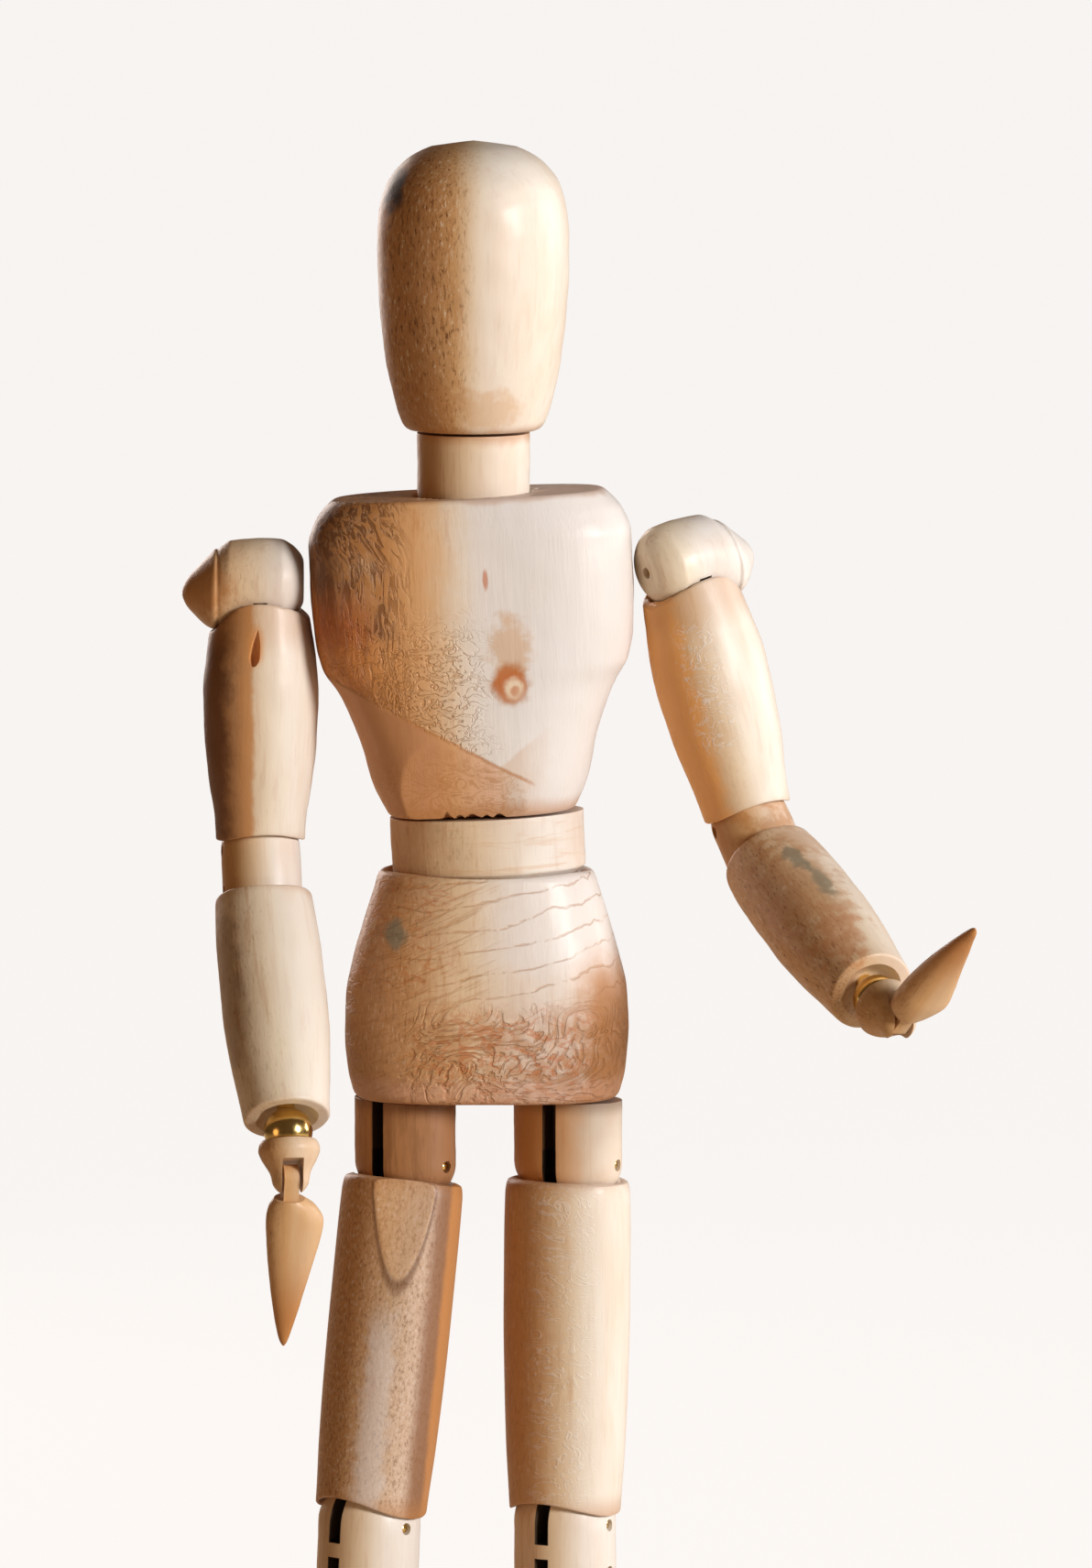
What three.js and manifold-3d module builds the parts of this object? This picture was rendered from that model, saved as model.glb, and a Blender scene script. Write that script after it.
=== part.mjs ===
// A jointed wooden artist mannequin, about 208 mm tall, on a round stand with a steel support rod.
// Millimetres, +Z up. The figure faces -Y, so its right side lies towards -X.
// The origin is the centre of the stand's underside.
import * as THREE from "three";
import { mergeVertices } from "three/addons/utils/BufferGeometryUtils.js";
import Module from "manifold-3d";

const wasm = await Module();
wasm.setup();

// Clearances
const GAP = 0.3; // between neighbouring pieces
const PIN_PLAY = 0.15; // round a pin in its hole
const FLOOR_PLAY = 7; // soles above the stand, so that toes and knees can move

// Stand
const BASE_RADIUS = 32;
const BASE_THICKNESS = 12;
const BASE_EDGE = 1.6;
const ROD_RADIUS = 1.2;
const ROD_X = -9.6;
const ROD_Y = 17;
const ROD_HOLE_DEPTH = 8;
const ROD_BEND = 5; // how far each bend of the rod reaches along its straight parts
const ROD_SEAT_DEPTH = 5;
const ROD_SEAT_RISE = 10; // above the pelvis's underside
const ROD_SEAT_X = -5;

// Head and neck
const HEAD_HEIGHT = 28.6;
const HEAD_RADIUS = 9.5;
const NECK_SHIFT = 0.6; // sideways from the chest's middle
const NECK_RADIUS = 5.6;
const NECK_HEIGHT = 6.3; // from the chest's top face to the head's underside
const NECK_SEAT_DROP = 0.6; // chest's top face below the centre of the neck's ball end
const HEAD_SPIGOT_RADIUS = 2.6;
const HEAD_SPIGOT_LENGTH = 5;

// Chest
const CHEST_SHIFT = -0.4; // sideways from the waist's middle
const CHEST_HEIGHT = 31.6;
const CHEST_HALF_WIDTH = 16;
const CHEST_HALF_DEPTH = 8.3;
const SHOULDER_SPREAD = 20.85; // from the chest's middle to each shoulder's centre
const SHOULDER_DROP = 7.8; // below the chest's top face
// Each planed facet's upper edge rises at the angle `spread`, and it leans back by `tilt`, in degrees
const FACETS = { right: { spread: 29.5, tilt: 16 }, left: { spread: 37.5, tilt: 9 } };
const FACET_MEETING = 2; // sideways from the chest's middle
const FACET_POINT = 5; // where the facets' V meets the front, above the chest's lower edge
const SPRING_RADIUS = 1.5;
const SPRING_GROOVE = 0.35;
const SPRING_PITCH = 3;

// Waist and pelvis
const WAIST_ROLL = -2.6; // degrees about Y: the figure leans a little on its pelvis
const WAIST_HALF_WIDTH = 9.6;
const WAIST_HALF_DEPTH = 6.9;
const WAIST_HEIGHT = 5.4;
const WAIST_HEEL_RADIUS = 9; // round underside, about the tilting axis
const WAIST_SPIGOT_RADIUS = 3;
const WAIST_SPIGOT_LENGTH = 5;
const PELVIS_HEIGHT = 22.9;
const PELVIS_HALF_WIDTH = 14.1;
const PELVIS_HALF_DEPTH = 9;

// Hinge hardware
const TONGUE_THICKNESS = 0.8;
const TONGUE_HALF_WIDTH = 1.1;
const TONGUE_EYE_RADIUS = 1.3;
const TONGUE_SEAT = 3; // how far a tongue goes into its limb
const PIN_RADIUS = 0.45;
const PIN_INSET = 0.25;

// Arms
const SHOULDER_RADIUS = 4.3;
const SHOULDER_NOSE = 7.8; // from the shoulder's centre to its blunt outer end
const SHOULDER_INNER = 4.2; // from the shoulder's centre to its end beside the chest
const SHOULDER_DROOP = 1.2; // shoulder's outer end below its own axis
const SHOULDER_PIN_REACH = 2.8; // from the shoulder's centre to its pin's outer end
const UPPER_ARM_LENGTH = 26.8; // shoulder's centre to the elbow's upper pin
const UPPER_ARM_RADIUS = 5.75;
const UPPER_ARM_LIP = 1.9; // upper arm's top below the shoulder's centre
const ARM_DOME_RADIUS = 8; // upper arm's top falls away to both sides
const GOUGE_LENGTH = 4.3; // gouge in the front of the right upper arm
const GOUGE_WIDTH = 1.1;
const GOUGE_DEPTH = 0.9;
const GOUGE_SHIFT = -0.4; // sideways from the arm's middle
const GOUGE_DROP = 6; // its middle below the shoulder's centre
const GOUGE_LEAN = 6; // degrees
const ELBOW_RADIUS = 3.95;
const ELBOW_PIN_SPACING = 4.2;
const ELBOW_SLOT_REACH = 3.6;
const FOREARM_LENGTH = 27; // elbow's lower pin to the wrist ball's centre
const FOREARM_RADIUS = 5.25;
const WRIST_BALL_RADIUS = 2.4;
const WRIST_STEM_RADIUS = 0.9;
const WRIST_STEM_LENGTH = 5.6;
const WRIST_MOUTH_RADIUS = 3.3; // hollow in the forearm's end, round the brass ball
const WRIST_MOUTH_RISE = 1.4; // forearm's end above the ball's centre
const WRIST_RADIUS = 3.1;
const WRIST_SPACING = 4.5; // wrist ball's centre to the hand's hinge
const HAND_ROOT_RADIUS = 1.2;
const HAND_ROOT_THICKNESS = 1.5;
const KNUCKLE_RADIUS = 1.9;
const HAND_LENGTH = 17.8; // hand's hinge to the finger tips
const HAND_HALF_WIDTH = 2.95;
const HAND_HALF_THICKNESS = 1.7;
const HAND_SWELL = 0.5; // thumb side's swelling past the middle line

// Legs
const HIP_SPREAD = 8.1; // from the pelvis's middle to each hip
const HIP_HALF_WIDTH = 5.7;
const HIP_HALF_DEPTH = 4.1;
const HIP_BLOCK_RISE = 6.4; // block's top face above the hip's pin
const HIP_SPIGOT_RADIUS = 2.8;
const HIP_SPIGOT_LENGTH = 5;
const THIGH_LENGTH = 36.2; // hip's pin to the knee's upper pin
const HIP_GROOVE_DEPTH = 2.2; // the block's saw cut runs on up its front
const THIGH_HALF_WIDTH = 6.6;
const THIGH_HALF_DEPTH = 5.7;
const THIGH_TOP_EDGE = 0.7; // rounding of the thigh's top
const THIGH_FLAT_LENGTH = 9; // planed flat on the right thigh
const THIGH_FLAT_DEPTH = 0.9;
const THIGH_FLAT_TURN = 36; // degrees from the thigh's own front to the flat's middle
const KNEE_RADIUS = 5.1;
const KNEE_PIN_SPACING = 4.7;
const SHIN_LENGTH = 38; // knee's lower pin to the ankle ball's centre
const SHIN_RADIUS = 5.8;
const ANKLE_RADIUS = 3;
const ANKLE_STEM_RADIUS = 1;
const ANKLE_STEM_LENGTH = 7;
const ANKLE_SHIN_LIP = 1.2; // shin's end above the ankle's centre
const ANKLE_FOOT_LIP = 1; // foot's top below the ankle's centre
const ANKLE_HEIGHT = 9; // ankle's centre above the sole
const FOOT_LENGTH = 24;
const FOOT_WIDTH = 8.6;
const FOOT_HEEL = 6.5; // heel behind the ankle's centre
const FOOT_TOE_HEIGHT = 3;
const FOOT_TOP_FRONT = 3.6; // foot's level top ahead of the ankle's centre
const FOOT_TOP_BACK = 3.1; // and behind it
const INSTEP_REACH = 10.5; // where the instep has run down to the toes, ahead of the ankle
const HEEL_ROUNDING = 1.6;
const HEEL_WALL = 5; // height of the heel's steep back
const TOE_ROUNDING = 1.2;

// Cupped ends of the limbs
const SIDE_LIP = 0.9; // a limb ends this far short of its pin's level at the sides
const FRONT_LIP = 1.9; // and this far at the front and back, to let the joint bend
const KNEE_FRONT_LIP = 2.4;
const HIP_LIP = 1.6; // thigh's level top below the hip's pin
const CUP_EDGE = 0.45;
const LIMB_OVERHANG = 0.42; // a limb's end round its joint's block
const FOREARM_OVERHANG = 0.85;

// The photographed pose, in degrees: lean is outwards, and each turn is about the limb's length
const ARM_POSE = {
  right: { lean: 0.3, armTurn: 0, elbowTurn: 10.7, elbow: 18, wristTurn: 0, wrist: -19, hand: -29 },
  left: { lean: 14.8, armTurn: 30, elbowTurn: -12, elbow: 30, wristTurn: 20, wrist: 2, hand: 60 },
};
const LEG_POSE = {
  right: { turn: -42, hip: 8.5, knee: 5 },
  left: { turn: -28, hip: 1, knee: 1 },
};

const ROUND_STEPS = 14;
const TORSO_STEPS = 24;
const BASE_STEPS = 36;
const ARCH_STEPS = 24;
const PIN_STEPS = 8;
const BALL_STEPS = 8;
const ROD_STEPS = 12;

const wood = (colour) =>
  new THREE.MeshStandardMaterial({ color: colour, roughness: 0.42, metalness: 0 });
const PALE_WOOD = wood(0xead7b8);
const WARM_WOOD = wood(0xdcc09a);
const BRASS = new THREE.MeshStandardMaterial({ color: 0xb58b3c, roughness: 0.3, metalness: 1 });
const STEEL = new THREE.MeshStandardMaterial({ color: 0x9a9a98, roughness: 0.35, metalness: 1 });

const radians = THREE.MathUtils.degToRad;
const SIDES = ["right", "left"];
const outward = (side) => (side === "right" ? -1 : 1);

// Joining and cutting

function toSolid(geometry) {
  const bare = new THREE.BufferGeometry();
  bare.setAttribute("position", geometry.getAttribute("position"));
  bare.setIndex(geometry.index);
  const merged = mergeVertices(bare, 1e-4);
  const mesh = new wasm.Mesh({
    numProp: 3,
    vertProperties: merged.attributes.position.array,
    triVerts: new Uint32Array(merged.index.array),
  });
  return new wasm.Manifold(mesh);
}

function toGeometry(solid) {
  const mesh = solid.getMesh();
  const geometry = new THREE.BufferGeometry();
  geometry.setAttribute("position", new THREE.BufferAttribute(mesh.vertProperties, 3));
  geometry.setIndex(new THREE.BufferAttribute(mesh.triVerts, 1));
  geometry.computeVertexNormals();
  return geometry;
}

function carve(geometry, cutters) {
  let solid = toSolid(geometry);
  for (const cutter of cutters) solid = solid.subtract(toSolid(cutter));
  return toGeometry(solid);
}

function join(geometry, others) {
  let solid = toSolid(geometry);
  for (const other of others) solid = solid.add(toSolid(other));
  return toGeometry(solid);
}

function common(geometry, other) {
  return toGeometry(toSolid(geometry).intersect(toSolid(other)));
}

// Basic shapes, each about the origin with its length along Z unless it says otherwise

// A closed body through level rings, lowest first: [height, half-width, half-depth, squareness, y, x].
function loft(rings, steps = ROUND_STEPS) {
  const points = [];
  const faces = [];
  const signedPower = (value, power) => Math.sign(value) * Math.abs(value) ** power;
  for (const [z, halfWidth, halfDepth = halfWidth, squareness = 2, y = 0, x = 0] of rings) {
    for (let i = 0; i < steps; i++) {
      const angle = (2 * Math.PI * i) / steps;
      points.push(
        x + halfWidth * signedPower(Math.cos(angle), 2 / squareness),
        y + halfDepth * signedPower(Math.sin(angle), 2 / squareness),
        z,
      );
    }
  }
  for (let ring = 0; ring < rings.length - 1; ring++) {
    for (let i = 0; i < steps; i++) {
      const a = ring * steps + i;
      const b = ring * steps + ((i + 1) % steps);
      faces.push(a, b, b + steps, a, b + steps, a + steps);
    }
  }
  const lowest = points.length / 3;
  const highest = lowest + 1;
  const first = rings[0];
  const last = rings[rings.length - 1];
  for (const [z, , , , y = 0, x = 0] of [first, last]) points.push(x, y, z);
  for (let i = 0; i < steps; i++) {
    const next = (i + 1) % steps;
    const top = (rings.length - 1) * steps;
    faces.push(lowest, next, i, highest, top + i, top + next);
  }
  const geometry = new THREE.BufferGeometry();
  geometry.setAttribute("position", new THREE.Float32BufferAttribute(points, 3));
  geometry.setIndex(faces);
  return geometry;
}

// Rounds the first and last ring of a profile over the given edge radii.
function softened(rings, lowEdge, highEdge = lowEdge) {
  const arc = [0, 40, 90].map(radians);
  const rounded = ([z, halfWidth, halfDepth = halfWidth, ...rest], edge, inwards) =>
    arc.map((angle) => [
      z + inwards * edge * (1 - Math.cos(angle)),
      halfWidth - edge * (1 - Math.sin(angle)),
      halfDepth - edge * (1 - Math.sin(angle)),
      ...rest,
    ]);
  const last = rings.length - 1;
  return [
    ...rounded(rings[0], lowEdge, 1),
    ...rings.slice(1, last),
    ...rounded(rings[last], highEdge, -1).reverse(),
  ];
}

const block = (width, depth, height) => new THREE.BoxGeometry(width, depth, height);
const ball = (radius, fineness = 1) =>
  new THREE.SphereGeometry(radius, ROUND_STEPS * fineness, BALL_STEPS * fineness)
    .rotateX(Math.PI / 2);
const post = (radius, length, steps = ROUND_STEPS) =>
  new THREE.CylinderGeometry(radius, radius, length, steps).rotateX(Math.PI / 2);
const crossPost = (radius, length, steps = PIN_STEPS) =>
  new THREE.CylinderGeometry(radius, radius, length, steps).rotateZ(Math.PI / 2);
const postBetween = (radius, from, to) =>
  crossPost(radius, to - from).translate((from + to) / 2, 0, 0);

// A shape drawn in (depth, height), made solid across the width and centred on it.
function acrossWidth(shape, width, curveSegments = 8) {
  const geometry = new THREE.ExtrudeGeometry(shape, {
    depth: width,
    bevelEnabled: false,
    curveSegments,
  });
  geometry.translate(0, 0, -width / 2);
  const turn = new THREE.Matrix4().makeBasis(
    new THREE.Vector3(0, 1, 0),
    new THREE.Vector3(0, 0, 1),
    new THREE.Vector3(1, 0, 0),
  );
  return geometry.applyMatrix4(turn);
}

// A close-wound spring drawn as a ridged rod.
function spring(length) {
  const ridges = Math.max(2, Math.round(length / SPRING_PITCH));
  const rings = [];
  for (let i = 0; i <= 2 * ridges; i++) {
    const radius = i % 2 ? SPRING_RADIUS : SPRING_RADIUS - SPRING_GROOVE;
    rings.push([(length * i) / (2 * ridges) - length / 2, radius]);
  }
  return loft(rings, PIN_STEPS);
}

// Hinges: the pin lies along X through the origin, and the tongue stands up from it

const tongueReach = (endRadius) => endRadius + GAP + TONGUE_SEAT;

function tongue(endRadius) {
  const reach = tongueReach(endRadius);
  const neck = Math.asin(TONGUE_HALF_WIDTH / TONGUE_EYE_RADIUS);
  const shape = new THREE.Shape();
  shape.moveTo(TONGUE_HALF_WIDTH, reach);
  shape.lineTo(-TONGUE_HALF_WIDTH, reach);
  shape.absarc(0, 0, TONGUE_EYE_RADIUS, Math.PI / 2 + neck, 2.5 * Math.PI - neck, false);
  shape.closePath();
  const eye = new THREE.Path();
  eye.absarc(0, 0, PIN_RADIUS + PIN_PLAY, 0, 2 * Math.PI, true);
  shape.holes.push(eye);
  return acrossWidth(shape, TONGUE_THICKNESS, 4);
}

const pin = (halfWidth) => crossPost(PIN_RADIUS, 2 * (halfWidth - PIN_INSET));

// Cutters for a block's slot round the tongue's eye; the slot opens upwards.
function tongueSlot(endRadius, reach) {
  const depth = TONGUE_EYE_RADIUS + GAP;
  const height = depth + endRadius + 1;
  return block(TONGUE_THICKNESS + 2 * GAP, 2 * reach, height).translate(0, 0, height / 2 - depth);
}

const pinHole = (halfWidth) => crossPost(PIN_RADIUS + PIN_PLAY, 2 * halfWidth + 2);

// Cutters for a block's round end and its tongue, with the pin at the origin.
function seatAndMortise(radius, widen = 1) {
  const reach = tongueReach(radius) + GAP;
  return [
    ball(radius + GAP).scale((radius * widen + GAP) / (radius + GAP), 1, 1),
    block(TONGUE_THICKNESS + 2 * GAP, 2 * (TONGUE_HALF_WIDTH + GAP), reach)
      .translate(0, 0, reach / 2),
  ];
}

// Cutters for the arched lower end of a limb that sits over a block's round end.
function cup({ radius, limbHalfWidth, turn = 0, frontLip = FRONT_LIP }) {
  const rise = frontLip - SIDE_LIP;
  const archRadius = (limbHalfWidth ** 2 + rise ** 2) / (2 * rise);
  const arch = new THREE.CylinderGeometry(archRadius, archRadius, 4 * limbHalfWidth, ARCH_STEPS)
    .translate(0, 0, frontLip - archRadius);
  return [...seatAndMortise(radius), arch].map((cutter) => cutter.rotateZ(turn));
}

const kneeCutters = (limbHalfWidth) =>
  cup({ radius: KNEE_RADIUS, limbHalfWidth, frontLip: KNEE_FRONT_LIP });
const upsideDown = (cutters, z = 0) =>
  cutters.map((cutter) => cutter.rotateX(Math.PI).translate(0, 0, z));
const lowered = (cutters, z) => cutters.map((cutter) => cutter.translate(0, 0, z));

// The wooden pieces

function headShape() {
  const height = HEAD_HEIGHT;
  const width = HEAD_RADIUS;
  const rings = softened(
    [
      [0, 0.745 * width],
      [0.1 * height, 0.82 * width],
      [0.25 * height, 0.915 * width],
      [0.4 * height, 0.965 * width],
      [0.55 * height, 0.995 * width],
      [0.66 * height, width],
      [0.76 * height, 0.975 * width],
      [0.85 * height, 0.9 * width],
      [0.925 * height, 0.73 * width],
      [0.972 * height, 0.5 * width],
      [height, 0.24 * width],
    ],
    1,
    0.1,
  );
  const hole = post(HEAD_SPIGOT_RADIUS + GAP, 2 * (HEAD_SPIGOT_LENGTH + GAP));
  return carve(loft(rings, TORSO_STEPS), [hole]);
}

// The neck's ball end is centred on the origin.
function neckShape() {
  const top = NECK_HEIGHT - NECK_SEAT_DROP - GAP;
  const rings = [15, 35, 55, 73].map((angle) => [
    -NECK_RADIUS * Math.cos(radians(angle)),
    NECK_RADIUS * Math.sin(radians(angle)),
  ]);
  rings.push([0, NECK_RADIUS], [top - 0.4, NECK_RADIUS], [top, NECK_RADIUS - 0.4]);
  const spigotTop = top + HEAD_SPIGOT_LENGTH;
  const spigot = post(HEAD_SPIGOT_RADIUS, spigotTop).translate(0, 0, spigotTop / 2);
  const bore = post(SPRING_RADIUS + GAP, 4 * (NECK_RADIUS + spigotTop));
  return carve(join(loft(rings), [spigot]), [bore]);
}

// The chest's middle is at the origin.
function chestShape() {
  const half = CHEST_HEIGHT / 2;
  const width = CHEST_HALF_WIDTH;
  const depth = CHEST_HALF_DEPTH;
  const rings = softened(
    [
      [-half, 0.575 * width, 0.85 * depth, 2.5, -0.07 * depth],
      [-0.8 * half, 0.665 * width, 0.91 * depth, 2.6, -0.05 * depth],
      [-0.56 * half, 0.725 * width, 0.95 * depth, 2.7, -0.03 * depth],
      [-0.34 * half, 0.8 * width, 0.97 * depth, 2.8, -0.02 * depth],
      [-0.2 * half, 0.865 * width, 0.985 * depth, 2.9],
      [-0.06 * half, 0.95 * width, depth, 3],
      [0.12 * half, 0.985 * width, depth, 3],
      [0.45 * half, width, depth, 3],
      [0.72 * half, width, 0.98 * depth, 3],
      [0.87 * half, 0.95 * width, 0.94 * depth, 2.8],
      [half, 0.84 * width, 0.88 * depth, 2.6],
    ],
    0.5,
    0.9,
  );
  const facets = SIDES.map((side) =>
    block(4 * width, depth, 4 * width)
      .translate(0, -depth / 2, 0)
      .rotateX(radians(FACETS[side].tilt))
      .rotateY(-outward(side) * radians(FACETS[side].spread))
      .translate(FACET_MEETING, -0.97 * depth, FACET_POINT - half),
  );
  const neckCup = ball(NECK_RADIUS + GAP).translate(NECK_SHIFT, 0, half + NECK_SEAT_DROP);
  const springBore = crossPost(SPRING_RADIUS + GAP, 4 * width).translate(0, 0, half - SHOULDER_DROP);
  const spigotHole = post(WAIST_SPIGOT_RADIUS + GAP, 2 * (WAIST_SPIGOT_LENGTH + GAP))
    .translate(-CHEST_SHIFT, 0, -half);
  return carve(loft(rings, TORSO_STEPS), [...facets, neckCup, springBore, spigotHole]);
}

// How far the waist's lower edge lies below the tilting axis.
const WAIST_EDGE_DROP = Math.sqrt(WAIST_HEEL_RADIUS ** 2 - WAIST_HALF_DEPTH ** 2);
const WAIST_WIDEN = WAIST_HALF_WIDTH / WAIST_HALF_DEPTH;

// The waist's tilting axis is at the origin.
function waistShape() {
  const top = WAIST_HEIGHT - WAIST_EDGE_DROP;
  const heel = [12, 25, 38].map((angle) => {
    const halfDepth = WAIST_HEEL_RADIUS * Math.sin(radians(angle));
    return [-WAIST_HEEL_RADIUS * Math.cos(radians(angle)), halfDepth * WAIST_WIDEN, halfDepth];
  });
  const rings = [
    ...heel,
    [-WAIST_EDGE_DROP, WAIST_HALF_WIDTH, WAIST_HALF_DEPTH],
    [top - 0.4, WAIST_HALF_WIDTH, WAIST_HALF_DEPTH],
    [top, WAIST_HALF_WIDTH - 0.4, WAIST_HALF_DEPTH - 0.4],
  ];
  const spigot = post(WAIST_SPIGOT_RADIUS, 2 * WAIST_SPIGOT_LENGTH).translate(0, 0, top);
  const bore = post(SPRING_RADIUS + GAP, 4 * WAIST_HEEL_RADIUS);
  return carve(join(loft(rings, TORSO_STEPS), [spigot]), [bore]);
}

// The middle of the pelvis's underside is at the origin.
function pelvisShape() {
  const height = PELVIS_HEIGHT;
  const width = PELVIS_HALF_WIDTH;
  const depth = PELVIS_HALF_DEPTH;
  const rings = softened(
    [
      [0, 0.93 * width, 0.9 * depth, 2.8],
      [0.13 * height, 0.98 * width, 0.96 * depth, 2.7],
      [0.3 * height, width, depth, 2.6],
      [0.46 * height, 0.99 * width, depth, 2.5],
      [0.62 * height, 0.935 * width, 0.97 * depth, 2.5],
      [0.76 * height, 0.87 * width, 0.92 * depth, 2.4],
      [0.9 * height, 0.8 * width, 0.87 * depth, 2.3],
      [height, 0.75 * width, 0.845 * depth, 2.2],
    ],
    1.1,
    0.2,
  );
  const seat = ball(WAIST_HEEL_RADIUS + GAP, 2)
    .scale((WAIST_HEEL_RADIUS * WAIST_WIDEN + GAP) / (WAIST_HEEL_RADIUS + GAP), 1, 1)
    .translate(0, 0, height + WAIST_EDGE_DROP);
  const hipHoles = SIDES.map((side) =>
    post(HIP_SPIGOT_RADIUS + GAP, 2 * (HIP_SPIGOT_LENGTH + GAP))
      .translate(outward(side) * HIP_SPREAD, 0, 0),
  );
  const rodSeat = post(ROD_RADIUS + GAP, 2 * (ROD_SEAT_DEPTH + GAP))
    .rotateX(Math.PI / 2)
    .translate(ROD_SEAT_X, depth, ROD_SEAT_RISE);
  return carve(loft(rings, TORSO_STEPS), [seat, ...hipHoles, rodSeat]);
}

// A shoulder piece is turned about its own length, which points outwards along X.
// Each ring is [distance along it, share of the radius, share of the droop].
const SHOULDER_PROFILE = [
  [-SHOULDER_INNER, 0.52, 0],
  [-0.86 * SHOULDER_INNER, 0.72, 0],
  [-0.72 * SHOULDER_INNER, 0.85, 0],
  [-0.47 * SHOULDER_INNER, 0.97, 0],
  [0, 1, 0],
  [0.38 * SHOULDER_NOSE, 0.98, 0.15],
  [0.55 * SHOULDER_NOSE, 0.9, 0.6],
  [0.58 * SHOULDER_NOSE, 0.91, 0.65],
  [0.68 * SHOULDER_NOSE, 0.79, 0.9],
  [0.84 * SHOULDER_NOSE, 0.5, 1],
  [0.95 * SHOULDER_NOSE, 0.27, 1],
  [SHOULDER_NOSE, 0.12, 1],
];

// The room round a shoulder piece is round about its axis, so that the arm can swing there.
function shoulderRoom() {
  const rings = SHOULDER_PROFILE.map(([along, share, droop]) => [
    along,
    share * SHOULDER_RADIUS + droop * SHOULDER_DROOP + GAP,
  ]);
  rings[0][0] -= GAP;
  rings[rings.length - 1][0] += GAP;
  return loft(rings).rotateY(Math.PI / 2);
}

function shoulderShape(side) {
  const direction = outward(side);
  const rings = SHOULDER_PROFILE.map(([along, share, droop]) => [
    along,
    share * SHOULDER_RADIUS,
    share * SHOULDER_RADIUS,
    2,
    0,
    droop * SHOULDER_DROOP,
  ]);
  const piece = loft(rings).rotateY(Math.PI / 2);
  const slot = tongueSlot(SHOULDER_RADIUS, SHOULDER_RADIUS - 0.4).rotateX(Math.PI);
  const hole = postBetween(PIN_RADIUS + PIN_PLAY, -SHOULDER_INNER - 1, SHOULDER_PIN_REACH + GAP);
  const geometry = carve(piece, [slot, hole]);
  return direction < 0 ? geometry.rotateZ(Math.PI) : geometry;
}

function shoulderPinShape(side) {
  const geometry = postBetween(PIN_RADIUS, PIN_INSET - SHOULDER_INNER, SHOULDER_PIN_REACH);
  return outward(side) < 0 ? geometry.rotateZ(Math.PI) : geometry;
}

function upperArmShape(side) {
  const turn = radians(ARM_POSE[side].elbowTurn);
  const width = UPPER_ARM_RADIUS;
  const end = UPPER_ARM_LENGTH - SIDE_LIP;
  const endRadius = ELBOW_RADIUS + LIMB_OVERHANG;
  const rings = softened(
    [
      [-end, endRadius],
      [-0.9 * end, 0.8 * width],
      [-0.77 * end, 0.89 * width],
      [-0.62 * end, 0.96 * width],
      [-0.42 * end, width],
      [-0.29 * end, 0.945 * width],
      [-0.19 * end, 0.88 * width],
      [-UPPER_ARM_LIP, 0.8 * width],
    ],
    CUP_EDGE,
    0.6,
  );
  const seat = shoulderRoom();
  if (outward(side) < 0) seat.rotateZ(Math.PI);
  const reach = tongueReach(SHOULDER_RADIUS) + GAP;
  const mortise = block(TONGUE_THICKNESS + 2 * GAP, 2 * (TONGUE_HALF_WIDTH + GAP), reach)
    .translate(0, 0, -reach / 2);
  const elbowCup = cup({ radius: ELBOW_RADIUS, limbHalfWidth: endRadius, turn });
  const cutters = [seat, mortise, ...lowered(elbowCup, -UPPER_ARM_LENGTH)];
  if (side === "right") cutters.push(gougeShape());
  return carve(common(loft(rings), armDome()), cutters);
}

// The room below an upper arm's rounded top.
function armDome() {
  const radius = ARM_DOME_RADIUS;
  const length = 4 * UPPER_ARM_RADIUS;
  const round = new THREE.CylinderGeometry(radius, radius, length, ARCH_STEPS);
  const below = block(2 * radius, length, UPPER_ARM_LENGTH).translate(0, 0, -UPPER_ARM_LENGTH / 2);
  return join(round, [below]).translate(0, 0, -UPPER_ARM_LIP - radius);
}

// A drop-shaped hollow, pointed at the top.
function gougeShape() {
  const half = GOUGE_WIDTH / 2;
  const rings = [[-0.5, 0.08], [-0.44, 0.6], [-0.26, 1], [0, 0.84], [0.26, 0.42], [0.5, 0.06]];
  return loft(rings.map(([up, share]) => [up * GOUGE_LENGTH, share * half, share * GOUGE_DEPTH]))
    .rotateY(radians(GOUGE_LEAN))
    .translate(GOUGE_SHIFT, -0.9 * UPPER_ARM_RADIUS, -GOUGE_DROP);
}

// A block with a round end about each of its two pins; the upper pin is at the origin.
function linkBlock(radius, spacing, slotReach) {
  const angles = [16, 34, 52, 71, 90].map(radians);
  const lower = angles.map((a) => [-spacing - radius * Math.cos(a), radius * Math.sin(a)]);
  const upper = angles.map((a) => [radius * Math.cos(a), radius * Math.sin(a)]).reverse();
  const upperCuts = [tongueSlot(radius, slotReach), pinHole(radius)];
  const lowerCuts = upsideDown([tongueSlot(radius, slotReach), pinHole(radius)], -spacing);
  return carve(loft([...lower, ...upper]), [...upperCuts, ...lowerCuts]);
}

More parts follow.
